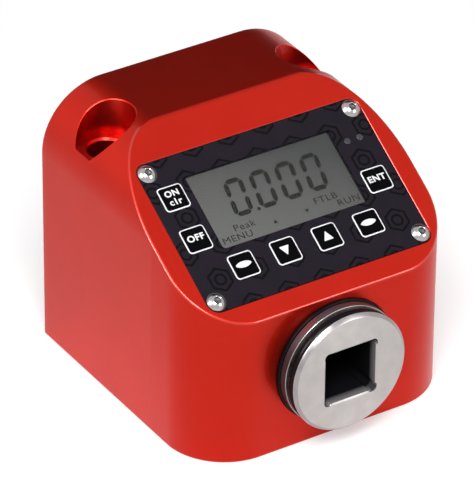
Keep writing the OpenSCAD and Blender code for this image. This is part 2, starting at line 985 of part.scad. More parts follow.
module gauge_leads() {
    gauge_y = y_front - journal_z0 + bar_len / 2;
    start_z = drive_z + bar_w / 2 + gauge_t + lead_d / 2 + slip;
    bend_y = gauge_y + gauge_len;
    socket_y = main_board_y0 - lead_socket_len;
    color([0.85, 0.85, 0.82]) {
        rod([0, gauge_y, start_z], [0, bend_y, lead_z], lead_d);
        translate([0, bend_y, lead_z]) sphere(d = lead_d + 2 * slip);
        rod([0, bend_y, lead_z], [0, socket_y, lead_z], lead_d);
    }
}

module main_board() {
    color(board_green)
        difference() {
            translate([-main_board_w / 2, main_board_y0, main_board_z0])
                cube([main_board_w, board_t, main_board_h]);
            for (x = [-main_screw_x, main_screw_x], z = main_screw_zs)
                translate([x, main_board_y0 - cut, z])
                    rotate([-90, 0, 0])
                        cylinder(d = main_screw_d + 2 * hole_gap, h = board_t + 2 * cut);
        }
}

// Block that stands on the front of the main board
module board_block(x, z, w, h, t) {
    translate([x - w / 2, main_board_y0 - t, z]) cube([w, t, h]);
}

module main_chips() {
    processor_w = 12;
    processor_x = -9;
    processor_z = 22;
    converter_w = 7;
    converter_x = 10;
    converter_z = 24;
    capacitor_d = 6.3;
    capacitor_h = 7;
    capacitor_z = 16;
    color(black) {
        board_block(processor_x, processor_z, processor_w, processor_w, chip_t);
        board_block(converter_x, converter_z, converter_w, converter_w, chip_t);
        board_block(0, main_header_z, ribbon_w, main_header_h, main_header_len);
        board_block(0, lead_z - lead_socket_h / 2, lead_socket_w, lead_socket_h, lead_socket_len);
        for (x = [-processor_w, 0, processor_w])
            translate([x, main_board_y0 - capacitor_h, capacitor_z])
                rotate([-90, 0, 0])
                    cylinder(d = capacitor_d, h = capacitor_h);
    }
}

module main_board_spacers() {
    color(steel)
        for (x = [-main_screw_x, main_screw_x], z = main_screw_zs)
            translate([x, main_board_y1, z])
                rotate([-90, 0, 0])
                    difference() {
                        cylinder(d = main_spacer_d, h = board_stand);
                        translate([0, 0, -cut])
                            cylinder(d = main_screw_d + 2 * hole_gap, h = board_stand + 2 * cut);
                    }
}

module main_board_screws() {
    color(steel)
        for (x = [-main_screw_x, main_screw_x], z = main_screw_zs)
            translate([x, main_board_y0, z])
                rotate([-90, 0, 0]) {
                    cylinder(d = main_screw_d, h = main_screw_len);
                    translate([0, 0, -main_screw_head_h])
                        cylinder(d = main_screw_head_d, h = main_screw_head_h);
                }
}

function slant_y(v, w) = y_front + (panel_v + v) * cos(slant_deg) - w * sin(slant_deg);
function slant_z(v, w) = front_h + (panel_v + v) * sin(slant_deg) + w * cos(slant_deg);

// Flat ribbon from the display board's header to the main board's header
module display_ribbon() {
    ribbon_t = 0.5;
    first_run = 2.4;
    first_drop = 6.7;
    second_run = 5.5;
    second_rise = 2;
    end_w = display_board_bottom - ribbon_header_t - slip;
    end_y = main_board_y0 - main_header_len - ribbon_t - slip;
    start = [slant_y(ribbon_header_v, end_w), slant_z(ribbon_header_v, end_w)];
    finish = [end_y, main_header_z + main_header_h / 2];
    first_bend = [start[0] + first_run, start[1] - first_drop];
    second_bend = [chamber_y0 - second_run, finish[1] + second_rise];
    path = [start, first_bend, second_bend, finish];
    under = [for (i = [3 : -1 : 0]) path[i] + [ribbon_t, ribbon_t / 2]];
    color([0.75, 0.75, 0.78])
        translate([-ribbon_w / 2, 0, 0])
            rotate([90, 0, 90])
                linear_extrude(ribbon_w) polygon(concat(path, under));
}

module battery_tray() {
    out_w = tray_in_w + 2 * tray_t;
    out_d = tray_in_d + 2 * tray_t;
    color(black)
        difference() {
            union() {
                translate([-out_w / 2, tray_y0, tray_z0]) cube([out_w, out_d, tray_side_h]);
                translate([-out_w / 2, tray_y0, tray_z0]) cube([out_w, tray_t, tray_back_h]);
            }
            translate([-tray_in_w / 2, tray_y0 + tray_t, tray_z0 + tray_t])
                cube([tray_in_w, tray_in_d, tray_back_h]);
            for (x = [-tray_screw_x, tray_screw_x])
                translate([x, tray_y0 - cut, tray_screw_z])
                    rotate([-90, 0, 0])
                        cylinder(d = tray_screw_d + 2 * fit, h = tray_t + 2 * cut);
            for (s = [-1, 1])
                translate([s * battery_lead_x, cell_y[1], tray_z0 - cut])
                    cylinder(d = lead_slot_d, h = tray_t + 2 * cut);
        }
}

module battery_cells() {
    color([0.2, 0.35, 0.5])
        for (y = cell_y, z = cell_z)
            translate([-cell_len / 2, y, z])
                rotate([0, 90, 0])
                    cylinder(d = cell_d, h = cell_len);
}

module battery_contacts() {
    color(steel)
        for (s = [-1, 1], y = cell_y)
            translate([s * battery_lead_x - contact_t / 2, y - contact_w / 2, cell_z[0] - cell_d / 2])
                cube([contact_t, contact_w, 2 * cell_d + cell_gap]);
}

module battery_leads() {
    top_z = cell_z[0] - cell_d / 2 - slip;
    foot_y = main_board_y0 - slip;
    color("crimson")
        for (s = [-1, 1]) {
            rod([s * battery_lead_x, cell_y[1], battery_lead_z],
                [s * battery_lead_x, cell_y[1], top_z], battery_lead_d);
            translate([s * battery_lead_x, cell_y[1], battery_lead_z])
                sphere(d = battery_lead_d + 2 * slip);
            rod([s * battery_lead_x, cell_y[1], battery_lead_z],
                [s * battery_lead_x, foot_y, battery_lead_z], battery_lead_d);
        }
}

module battery_screws() {
    color(steel)
        for (x = [-tray_screw_x, tray_screw_x])
            translate([x, tray_y0 + tray_t, tray_screw_z])
                rotate([90, 0, 0]) {
                    cylinder(d = tray_screw_d, h = tray_t + tray_screw_len - fit);
                    translate([0, 0, -tray_screw_head_h])
                        cylinder(d = tray_screw_head_d, h = tray_screw_head_h);
                }
}

module rear_plate() {
    color(black)
        on_back(0, rear_plate_z, -rear_seat)
            difference() {
                slab(rear_plate_w - 2 * fit, rear_plate_h - 2 * fit, rear_plate_round - fit, rear_plate_t);
                translate([jack_x, 0, -cut]) cylinder(d = jack_d + 2 * fit, h = rear_plate_t + 2 * cut);
                translate([port_x, 0, -cut])
                    box(port_w + 2 * fit, port_h + 2 * fit, rear_plate_t + 2 * cut);
                at_corners(rear_plate_w / 2 - rear_screw_in, rear_plate_h / 2 - rear_screw_in) {
                    translate([0, 0, -cut])
                        cylinder(d = rear_screw_d + 2 * hole_gap, h = rear_plate_t + 2 * cut);
                    translate([0, 0, rear_plate_t - rear_head_h - fit])
                        cylinder(d = rear_head_d + 2 * fit, h = rear_head_h + fit + cut);
                }
            }
}

module rear_plate_screws() {
    color(steel)
        on_back(0, rear_plate_z, -rear_plate_sunk)
            at_corners(rear_plate_w / 2 - rear_screw_in, rear_plate_h / 2 - rear_screw_in)
                mirror([0, 0, 1])
                    countersunk(rear_head_d, rear_head_h, rear_screw_d, rear_screw_len);
}

module charge_jack() {
    color(dark)
        on_back(jack_x, rear_plate_z, -rear_plate_sunk - port_len) {
            difference() {
                cylinder(d = jack_d, h = port_len);
                translate([0, 0, port_len - jack_hole_depth])
                    cylinder(d = jack_hole_d, h = jack_hole_depth + cut);
            }
            translate([0, 0, port_len - jack_hole_depth - slip])
                cylinder(d = jack_pin_d, h = jack_pin_len + slip);
        }
}

module data_port() {
    color(steel)
        on_back(port_x, rear_plate_z, -rear_plate_sunk - port_len) {
            difference() {
                box(port_w, port_h, port_len);
                translate([0, 0, port_len - port_depth])
                    slab(port_hole_w, port_hole_h, port_hole_round, port_depth + cut);
            }
            translate([0, 0, port_len - port_depth - slip])
                box(port_tongue_w, port_tongue_h, port_depth - slip);
        }
}

housing();
base_cover();
base_gasket();
base_cover_screws();
faceplate();
overlay();
panel_screws();
window_lens();
lcd_bezel();
lcd_glass();
lcd_backlight();
display_board();
display_chips();
keypad_board();
snap_domes();
key_on();
key_off();
key_enter();
key_down();
key_up();
key_soft_left();
key_soft_right();
board_spacers();
board_screws();
indicator_lenses();
status_lamps();
transducer();
drive_ring();
front_bush();
shaft_seal();
strain_gauges();
transducer_screws();
gauge_leads();
main_board();
main_chips();
main_board_spacers();
main_board_screws();
display_ribbon();
battery_tray();
battery_cells();
battery_contacts();
battery_leads();
battery_screws();
rear_plate();
rear_plate_screws();
charge_jack();
data_port();
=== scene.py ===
import math

import bmesh
import bpy
import numpy as np
from mathutils import Matrix, Vector


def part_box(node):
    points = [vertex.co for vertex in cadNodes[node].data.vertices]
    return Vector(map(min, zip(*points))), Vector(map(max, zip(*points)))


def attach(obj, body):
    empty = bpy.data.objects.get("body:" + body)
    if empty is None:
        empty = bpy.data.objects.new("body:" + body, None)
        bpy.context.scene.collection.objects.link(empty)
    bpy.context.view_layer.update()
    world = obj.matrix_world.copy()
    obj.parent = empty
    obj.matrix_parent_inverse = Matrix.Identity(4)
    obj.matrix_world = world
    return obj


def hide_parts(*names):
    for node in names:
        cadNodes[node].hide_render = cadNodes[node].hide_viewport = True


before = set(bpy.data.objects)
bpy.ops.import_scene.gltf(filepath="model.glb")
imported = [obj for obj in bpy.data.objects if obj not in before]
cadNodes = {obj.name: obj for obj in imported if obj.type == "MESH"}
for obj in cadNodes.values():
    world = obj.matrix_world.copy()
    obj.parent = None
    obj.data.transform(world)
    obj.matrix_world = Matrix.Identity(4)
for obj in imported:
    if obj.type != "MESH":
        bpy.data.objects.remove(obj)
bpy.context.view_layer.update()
mm = 0.001
print("frame:", len(cadNodes), "nodes")


def newObject(name, data):
    obj = bpy.data.objects.new(name, data)
    bpy.context.scene.collection.objects.link(obj)
    return obj


# Camera, solved from the photograph together with the body's corners.
camera = {
    "place": (-731.87, -1120.04, 893.22),
    "forward": (0.45870, 0.71039, -0.53380),
    "right": (0.84276, -0.53823, 0.00792),
    "lens": 357.8,      # on a 36 mm sensor along the image's long side
    "sensor": 36.0,
    "farthest": 20,     # metres
}


def makeCamera():
    data = bpy.data.cameras.new("camera")
    data.lens = camera["lens"]
    data.sensor_width = camera["sensor"]
    data.clip_end = camera["farthest"]
    forward = Vector(camera["forward"]).normalized()
    right = Vector(camera["right"]).normalized()
    seat = Matrix((right, right.cross(forward), -forward)).transposed().to_4x4()
    cam = newObject("camera", data)
    cam.matrix_world = Matrix.Translation(Vector(camera["place"]) * mm) @ seat
    bpy.context.scene.camera = cam


makeCamera()
print("camera set")


# Material helpers

# Gives a socket a plain value, or a link from another node's output.
def feed(socket, value):
    if isinstance(value, bpy.types.NodeSocket):
        socket.id_data.links.new(value, socket)
    elif socket.type == "RGBA":
        socket.default_value = (*value, 1)
    else:
        socket.default_value = value


def feedAll(node, inputs):
    for key, value in inputs.items():
        feed(node.inputs[key], value)
    return node


def addNode(tree, kind, inputs, **settings):
    node = tree.nodes.new(kind)
    for key, value in settings.items():
        setattr(node, key, value)
    return feedAll(node, inputs)


def newMaterial(name, color, metallic=0.0, roughness=0.5, coat=0.0, coatRoughness=0.1, ior=1.5):
    mat = bpy.data.materials.new(name)
    mat.use_nodes = True
    tree = mat.node_tree
    shader = feedAll(tree.nodes["Principled BSDF"], {
        "Base Color": color, "Metallic": metallic, "Roughness": roughness,
        "Coat Weight": coat, "Coat Roughness": coatRoughness, "IOR": ior,
    })
    return mat, tree, shader


# Object coordinates, moved to a centre, then turned and scaled.
def objectPlace(tree, centre=(0, 0, 0), turn=(0, 0, 0), scale=1):
    coord = addNode(tree, "ShaderNodeTexCoord", {}).outputs["Object"]
    shift = vectorNode("SUBTRACT", coord, centre)
    return addNode(tree, "ShaderNodeMapping", {
        "Vector": shift.outputs[0], "Rotation": turn, "Scale": (scale,) * 3}).outputs[0]


def vectorNode(operation, first, second=(0, 0, 0)):
    return addNode(first.id_data, "ShaderNodeVectorMath", {0: first, 1: second}, operation=operation)


# One Math node, in the tree of the first value that is a socket.
def calc(operation, *values):
    tree = next(value for value in values if isinstance(value, bpy.types.NodeSocket)).id_data
    return addNode(tree, "ShaderNodeMath", dict(enumerate(values)), operation=operation).outputs[0]


# Distance from the middle: sqrt(x^2 + y^2).
def awayFrom(x, y):
    return calc("SQRT", calc("ADD", calc("MULTIPLY", x, x), calc("MULTIPLY", y, y)))


def partsOf(place):
    return addNode(place.id_data, "ShaderNodeSeparateXYZ", {0: place}).outputs


def speckle(place, size, detail=2.0):
    return addNode(place.id_data, "ShaderNodeTexNoise", {
        "Vector": place, "Scale": 1 / size, "Detail": detail}).outputs["Fac"]


def spread(value, low, high, fromLow=0.3, fromHigh=0.7):
    return addNode(value.id_data, "ShaderNodeMapRange", {
        "Value": value, "From Min": fromLow, "From Max": fromHigh, "To Min": low, "To Max": high}).outputs[0]


# Colour mix: the node's sockets 0, 6 and 7 are its factor and its two colours, and output 2 is the colour.
def mixColors(factor, first, second):
    return addNode(factor.id_data, "ShaderNodeMix", {0: factor, 6: first, 7: second},
                   data_type="RGBA").outputs[2]


def shaded(color, share):
    return tuple(share * part for part in color)


def addBump(shader, height, depth):
    bump = addNode(shader.id_data, "ShaderNodeBump", {
        "Height": height, "Distance": depth * mm, "Strength": 1.0})
    feed(shader.inputs["Normal"], bump.outputs[0])


redFinish = {
    "color": (0.500, 0.0145, 0.0045),
    "deep": (0.470, 0.0125, 0.0040),
    "glancing": (1.0, 0.84, 0.84),       # tint of the reflection at a glancing angle
    "coat": 0.17,
    "coatRoughness": 0.12,
    "edgeCoat": 0.95,                    # on the round along the slanted face's edge
    "edgeDepth": (0.02, 0.60),           # where that round lies, below the slanted face
    "bore": (0.400, 0.0125, 0.0070),     # painted shade inside the counterbores and bolt holes: a darker red
    "boreSlack": (0.02, 0.05),           # how far the painted shade reaches past the hole's radius, and below the floors
    "metallic": 1.0,
    "roughness": (0.34, 0.42),
    "grain": 0.28,       # size of the blasted grain
    "grainDepth": 0.012,
    "cloud": 18,         # size of the broad shade changes
}


# Red anodised metal: fine blasted grain in the bump, broad clouds in the colour, and a darker red painted as
# shade in the holes.
def redAnodised():
    f = redFinish
    mat, tree, shader = newMaterial("redAnodised", f["color"], f["metallic"],
                                    coatRoughness=f["coatRoughness"])
    place = objectPlace(tree)
    cloud = speckle(place, f["cloud"] * mm, 3.0)
    grain = speckle(place, f["grain"] * mm, 1.0)
    outside = mixColors(spread(cloud, 0, 1), f["deep"], f["color"])
    feedAll(shader, {
        # the holes' darker red is painted shade
        "Base Color": mixColors(boreShadeMask(place), outside, f["bore"]),
        "Roughness": spread(grain, *f["roughness"]),
        "Specular Tint": f["glancing"],
        "Coat Weight": calc("ADD", calc("MULTIPLY", onEdge(place), f["edgeCoat"] - f["coat"]), f["coat"]),
    })
    addBump(shader, grain, f["grainDepth"])
    return mat


# One on the slanted face's outer round: the depth below that face, d = y sin s - z cos s + c, is in a
# range, and the height is below the crest's arc.
def onEdge(place):
    low, high = redFinish["edgeDepth"]
    across = vectorNode("DOT_PRODUCT", place, (0, sinS, -cosS)).outputs["Value"]
    depth = calc("ADD", across, (body["frontHeight"] - yFront * tanS) * cosS * mm)
    top = topHeight - housing["crest"] * (1 - cosS)
    inside = calc("MULTIPLY", calc("GREATER_THAN", depth, low * mm), calc("LESS_THAN", depth, high * mm))
    return calc("MULTIPLY", inside, calc("LESS_THAN", partsOf(place)[2], top * mm))


# Mask of the painted shade in the counterbores and bolt holes: one where the distance from the nearer bolt
# axis is below a limit, which is the hole's radius, then the ring's above the bevel and the counterbore's
# above its floor.
def boreShadeMask(place):
    h = housing
    slack, below = redFinish["boreSlack"]
    x, y, z = partsOf(place)
    away = awayFrom(calc("SUBTRACT", calc("ABSOLUTE", x), boltX * mm), calc("SUBTRACT", y, boltY * mm))
    floor = topHeight - h["boreDepth"]
    limit = (h["holeD"] / 2 + slack) * mm
    for level, step in ((floor - h["ringDepth"] - h["holeBevel"], h["ringD"] - h["holeD"]),
                        (floor, h["boreD"] - h["ringD"])):
        above = calc("GREATER_THAN", z, (level - below) * mm)
        limit = calc("ADD", calc("MULTIPLY", above, step / 2 * mm), limit)
    return calc("LESS_THAN", away, limit)


steelFinish = {
    "color": (0.505, 0.475, 0.462),
    "dull": (0.440, 0.415, 0.405),
    "roughness": (0.28, 0.38),
    "cloud": 5,
    "rings": 0.11,        # width of one turning line
    "ringDepth": 0.0012,
    "stretch": 0.7,       # how far the gloss is drawn out across the turning lines
    # Painted shade in the drive's socket: the mouth's colour darkens to the deep one with depth.
    "mouth": (0.27, 0.25, 0.26), "deep": (0.006, 0.006, 0.007),
    "brightTo": 0.6, "darkFrom": 4.0,     # depths in the socket where the painted shade starts, and where it is full
    "corners": (8.3, 8.9),                # where the painted shade of the corner reliefs starts, and where it ends
    "cornerShade": 0.85,
    # Painted shade: the band and the bevel are darker copies of the steel, which hold down their
    # reflections.
    "band": (0.075, 0.062, 0.070), "bandMetallic": 0.6,
    "bevel": (0.37, 0.34, 0.35),
    "dim": 0.8,           # darker shade of the band and the bevel
}


# Turned steel: lines of equal distance from the drive axis in the bump, faint clouds in the colour.
def turnedSteel(name, axisPlace, color, dull, metallic=1.0):
    f = steelFinish
    mat, tree, shader = newMaterial(name, color, metallic)
    place = objectPlace(tree, axisPlace)
    flat = vectorNode("MULTIPLY", place, (1, 0, 1)).outputs[0]
    reach = vectorNode("LENGTH", flat).outputs["Value"]
    lines = addNode(tree, "ShaderNodeTexNoise", {"W": reach, "Scale": 1 / (f["rings"] * mm), "Detail": 2.0},
                    noise_dimensions="1D").outputs["Fac"]
    cloud = speckle(place, f["cloud"] * mm, 3.0)
    both = calc("ADD", calc("MULTIPLY", lines, 0.5), calc("MULTIPLY", cloud, 0.5))
    feedAll(shader, {
        "Base Color": mixColors(spread(cloud, 0, 1), dull, color),
        "Roughness": spread(both, *f["roughness"]),
        "Tangent": vectorNode("CROSS_PRODUCT", flat, (0, 1, 0)).outputs[0],
        "Anisotropic": f["stretch"],
        "Anisotropic Rotation": 0.25,     # a quarter turn: the gloss spreads across the turning lines
    })
    addBump(shader, lines, f["ringDepth"])
    return mat


# Socket and bore: painted shade, bright at the mouth, then darker and duller with the depth below the face
# and in the corner reliefs.
def socketShadedSteel(axisPlace, faceY):
    f = steelFinish
    mat, tree, shader = newMaterial("socketShadedSteel", f["color"], 1.0)
    place = objectPlace(tree, axisPlace, scale=1 / mm)
    x, y, z = partsOf(place)
    depth = spread(y, 0, 1, faceY + f["brightTo"], faceY + f["darkFrom"])
    corner = calc("MINIMUM", calc("ABSOLUTE", x), calc("ABSOLUTE", z))
    depth = calc("MAXIMUM", depth, calc("MULTIPLY", f["cornerShade"], spread(corner, 0, 1, *f["corners"])))
    # colour, gloss and metal fall with the painted shade
    feedAll(shader, {
        "Base Color": mixColors(depth, f["mouth"], f["deep"]),
        "Roughness": spread(depth, 0.3, 0.7, 0, 1),
        "Metallic": spread(depth, 0.35, 0.1, 0, 1),
        "Specular IOR Level": spread(depth, 0.5, 0.0, 0, 1),
    })
    addBump(shader, speckle(place, 0.3), 0.003)
    return mat


# Plain material for a small part: clouds of twelve grains vary its colour between two shades, and a fine
# grain gives the bump and varies the roughness by 15% each way.
def grainy(name, color, shade, metallic, roughness, grain, depth, coat=0.0, ior=1.5):
    mat, tree, shader = newMaterial(name, color, metallic, coat=coat, ior=ior)
    place = objectPlace(tree)
    fine = speckle(place, grain * mm)
    cloud = speckle(place, 12 * grain * mm)
    feedAll(shader, {
        "Base Color": mixColors(spread(cloud, 0, 1), shaded(color, shade), color),
        "Roughness": spread(fine, roughness * 0.85, roughness * 1.15),
    })
    addBump(shader, fine, depth)
    return mat


print("materials: helpers ready")


# Surface helpers

# Points at the polar angles t, at the reach r: x = r cos t, y = r sin t.
def polar(t, r=1.0):
    return np.stack([r * np.cos(t), r * np.sin(t)], -1)


def wholeTurn(n):
    return np.arange(n) * 2 * math.pi / n


# Circle: radius r, n points, counterclockwise.
def circle(r, n=96):
    return polar(wholeTurn(n), r)


# Rounded rectangle: four arcs of radius r about the corners' centres, n steps each, counterclockwise.
def roundedRect(w, h, r, n=10):
    quarter = np.linspace(0, math.pi / 2, n + 1)
    turns = np.concatenate([quarter + k * math.pi / 2 for k in range(4)])
    signs = np.repeat(np.array([[1, 1], [-1, 1], [-1, -1], [1, -1]]), n + 1, axis=0)
    return signs * np.array([w / 2 - r, h / 2 - r]) + polar(turns, r)


# The four corners of a rectangle about the middle.
def fourCorners(x, y):
    return [(s * x, t * y) for s in (-1, 1) for t in (-1, 1)]


# Lifts a stack of flat outlines: ring k has the height z[k].
def lifted(outlines, heights):
    outlines = np.asarray(outlines, float)
    z = np.broadcast_to(np.asarray(heights, float)[:, None, None], (*outlines.shape[:2], 1))
    return np.concatenate([outlines, z], -1)


# Turned skin: profile point (r, z) carried round the axis, x = r cos t, y = r sin t.
def turned(profile, n=96):
    profile = np.asarray(profile, float)
    return lifted(profile[:, 0, None, None] * circle(1.0, n)[None], profile[:, 1])


def moved(points, x, y, z=0.0):
    return points + np.array([x, y, z])


# Quads of a grid of rows of points; a direction that wraps joins its end to its start.
def gridQuads(rows, cols, wrapRows, wrapCols):
    k = np.arange(rows if wrapRows else rows - 1)[:, None]
    i = np.arange(cols if wrapCols else cols - 1)[None, :]
    kNext, iNext = (k + 1) % rows, (i + 1) % cols
    quads = np.stack([k * cols + i, k * cols + iNext, kNext * cols + iNext, kNext * cols + i], -1)
    return quads.reshape(-1, 4).tolist()


# Mesh from rings: point i of ring k and its three neighbours make one quad. A loop joins the last ring to
# the first, and otherwise flat caps close the ends.
def ringMesh(name, rings, mat, loop=False, smooth=30, slots=None):
    rows, cols = rings.shape[:2]
    faces = gridQuads(rows, cols, loop, True)
    if not loop:
        faces += [list(range(cols))[::-1], list(range((rows - 1) * cols, rows * cols))]
    mesh = bpy.data.meshes.new(name)
    mesh.from_pydata(rings.reshape(-1, 3).tolist(), [], faces)
    if slots is not None:
        slots = np.repeat(slots, cols).tolist()
        mesh.polygons.foreach_set("material_index", slots + slots[-1:] * (len(faces) - len(slots)))
    return finishMesh(name, mesh, mat, smooth)


def smoothBy(mesh, angle):
    mesh.polygons.foreach_set("use_smooth", [True] * len(mesh.polygons))
    mesh.set_sharp_from_angle(angle=math.radians(angle))


# Joins equal points, turns the faces outwards and marks edges sharper than the angle.
def finishMesh(name, mesh, mat, smooth=30):
    shape = bmesh.new()
    shape.from_mesh(mesh)
    bmesh.ops.remove_doubles(shape, verts=shape.verts, dist=2e-7)
    bmesh.ops.dissolve_degenerate(shape, edges=shape.edges, dist=1e-7)
    bmesh.ops.recalc_face_normals(shape, faces=shape.faces)
    shape.to_mesh(mesh)
    shape.free()
    smoothBy(mesh, smooth)
    for m in mat if isinstance(mat, list) else [mat]:
        mesh.materials.append(m)
    return newObject(name, mesh)


def settle(obj, body, slot, *nodes):
    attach(obj, body)
    if nodes:
        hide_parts(*nodes)
    return obj


# One mesh from several, for a piece with loose parts.
def joined(name, objects):
    shape = bmesh.new()
    for obj in objects:
        shape.from_mesh(obj.data)
    mesh = bpy.data.meshes.new(name)
    shape.to_mesh(mesh)
    shape.free()
    for m in objects[0].data.materials:
        mesh.materials.append(m)
    for obj in objects:
        bpy.data.objects.remove(obj)
    return newObject(name, mesh)


# Takes the cutters' space out of a piece, and gives it the mesh that is left.
def carved(obj, cutters):
    for cutter in cutters:
        change = obj.modifiers.new("carve", "BOOLEAN")
        change.operation = "DIFFERENCE"
        change.solver = "EXACT"
        change.object = cutter
    view = bpy.context.evaluated_depsgraph_get()
    mesh = bpy.data.meshes.new_from_object(obj.evaluated_get(view))
    obj.modifiers.clear()
    obj.data = mesh
    for cutter in cutters:
        bpy.data.objects.remove(cutter)
    smoothBy(mesh, 30)
    return obj


# Prism: a flat outline carried from one height to the other, at a place in one of the frames below.
def prism(name, outline, low, high, place, mat, x=0.0, y=0.0, smooth=30):
    return ringMesh(name, place(moved(lifted([outline, outline], [low, high]), x, y)), mat, smooth=smooth)


# Turned piece: a profile carried round an axis that stands square on one of the frames below.
def lathe(name, profile, n, place, mat, x=0.0, y=0.0, **more):
    return ringMesh(name, place(moved(turned(profile, n), x, y)), mat, **more)


# Plate with a bevelled face: a rounded outline carried to the bevel, then drawn in by its width.
def bevelled(name, size, low, high, bevel, mat, place, x=0.0, y=0.0, n=10):
    w, h, r = size
    outer = roundedRect(w, h, r, n)
    inner = roundedRect(w - 2 * bevel, h - 2 * bevel, max(r - bevel, 0.1), n)
    return ringMesh(name, place(moved(lifted([outer, outer, inner], [low, high - bevel, high]), x, y)), mat)


# Frames of the body

bodyLow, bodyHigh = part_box("housing")
body = {
    "sideRound": 23.0,
    "frontRound": 22.0,
    "frontHeight": 53.0,
    "slantDeg": 31.8,
    "panelMiddle": 35.5,      # up the slanted face
    "driveHeight": 28.8,
    "boltBack": 22.5,
    "boltSide": 11.3,
}
halfWidth = bodyHigh.x / mm
yFront = bodyLow.y / mm
yBack = bodyHigh.y / mm
topHeight = bodyHigh.z / mm
slant = math.radians(body["slantDeg"])
cosS, sinS, tanS = math.cos(slant), math.sin(slant), math.tan(slant)
boltX = halfWidth - body["boltSide"]
boltY = yBack - body["boltBack"]


def columns(points):
    return np.moveaxis(np.asarray(points, float), -1, 0)


# Panel frame: u across, v up the slanted face from the panel's middle, w outwards.
def onPanel(points):
    u, v, w = columns(points)
    along = body["panelMiddle"] + v
    height = body["frontHeight"] + along * sinS + w * cosS
    return np.stack([u, yFront + along * cosS - w * sinS, height], -1) * mm


# Drive frame: x across, y up, z outwards from the front face.
def onDrive(points):
    x, y, z = columns(points)
    return np.stack([x, yFront - z, body["driveHeight"] + y], -1) * mm


# Back frame: x across as seen from behind, y up from the foot, z outwards from the back face.
def onBack(points):
    x, y, z = columns(points)
    return np.stack([-x, yBack + z, y], -1) * mm


# Foot frame: x across, y to the back, z down out of the foot.
def onFoot(points):
    x, y, z = columns(points)
    return np.stack([x, y, -z], -1) * mm


def standing(points):
    return np.asarray(points, float) * mm


print("surfaces: helpers ready")


# Housing

housing = {
    "edge": 0.9,          # radius between the slanted face and the walls
    "crest": 4.0,         # radius between the slanted face and the top
    "backEdge": 0.7,
    "footEdge": 1.0,
    "strip": 0.25,        # flat strip beside each rounding, which keeps the large faces flat
    "rimBevel": 0.22,     # bevel round each counterbore
    "recess": (85.7, 56.8, 4.0), "recessDepth": 1.6,
    "recessBevel": 0.14,  # bevel round the recess and the seal's seat
    "pocket": (71.0, 47.4, 0.5), "pocketDepth": 9.0,
    "boreD": 19.8, "boreDepth": 13.0, "ringD": 17.0, "ringDepth": 0.4, "holeD": 12.4, "holeBevel": 0.7,
    "sealD": 44.2, "sealIn": 2.0, "driveBore": 40.0, "driveBoreLen": 57.0,
    "hollows": [((-24.5, 20, -5), (24.5, 47, 84)), ((-24.5, -2, 53.8), (24.5, 21, 73.8))],
    "hollowRound": 0.4,
    "baseSeat": (60.0, 36.0, 4.0), "baseSeatY": 33.0, "baseSeatDepth": 2.8,
    "rearSeat": (46.0, 26.0, 3.0), "rearSeatZ": 30.0, "rearSeatDepth": 1.8,
    "rearHoles": [(11.0, 11.6, 11.6), (-10.0, 12.6, 11.6)],     # place across as seen from behind, size
    "rearHoleRound": 0.5, "rearHoleDepth": 9.0,
    "past": 5.0,          # how far a cutter reaches out of the body
}


# Height of the slanted face and the top along the body, with an arc of the crest's radius between them.
def crestHeight(y):
    arcR = housing["crest"]
    meet = yFront + (topHeight - body["frontHeight"]) / tanS
    reach = arcR * math.tan(slant / 2)
    slanted = body["frontHeight"] + (y - yFront) * tanS
    arc = topHeight - arcR + np.sqrt(np.maximum(arcR ** 2 - np.minimum(y - meet - reach, 0) ** 2, 0))
    height = np.where(y < meet - reach * cosS, slanted, arc)
    return np.where(y > meet + reach, topHeight, height), meet - reach * cosS, meet + reach


# Sections of the body square to its outline, from the foot up the wall, over the side round, round the
# edge and onto the slanted face. r is the way in from the wall: the round is r = s - s cos t and
# z = zc + s sin t, and the edge is a fillet of radius e that touches it and the line z = height + slope r.
def bodySections(px, py, nx, ny, inset):
    h = housing
    e, foot, strip = h["edge"], h["footEdge"], h["strip"]
    q = inset[:, None]
    height = (crestHeight(py)[0] - inset)[:, None]
    slope = (-ny * tanS)[:, None]
    sideR = body["sideRound"] - q
    roundZ = topHeight - body["sideRound"]
    zc = height + slope * e - e * np.sqrt(1 + slope ** 2)
    rise = np.clip(zc - roundZ, 0, sideR - e)
    tEnd = np.arcsin(np.clip(rise / (sideR - e), 0, 1))
    zArc = np.minimum(zc, roundZ)
    filletR = sideR + q - (sideR - e) * np.cos(tEnd)
    aEnd = math.pi / 2 - np.arctan(slope)

    footTurn = np.linspace(0, math.pi / 2, 5)[None, :]
    footR = np.maximum(foot - q, 0.02)
    t = tEnd * np.linspace(0, 1, 25)[None, :]
    a = tEnd + (aEnd - tEnd) * np.linspace(0, 1, 9)[None, 1:]
    lastR, lastZ = filletR - e * np.cos(aEnd), zc + e * np.sin(aEnd)
    r = np.concatenate([np.full_like(q, foot + strip), foot - footR * np.sin(footTurn),
                        sideR + q - sideR * np.cos(t), filletR - e * np.cos(a), lastR + strip], 1)
    z = np.concatenate([q, foot - footR * np.cos(footTurn),
                        zArc + sideR * np.sin(t), zc + e * np.sin(a), lastZ + slope * strip], 1)
    return np.stack([px[:, None] - nx[:, None] * r, py[:, None] - ny[:, None] * r, z], -1)


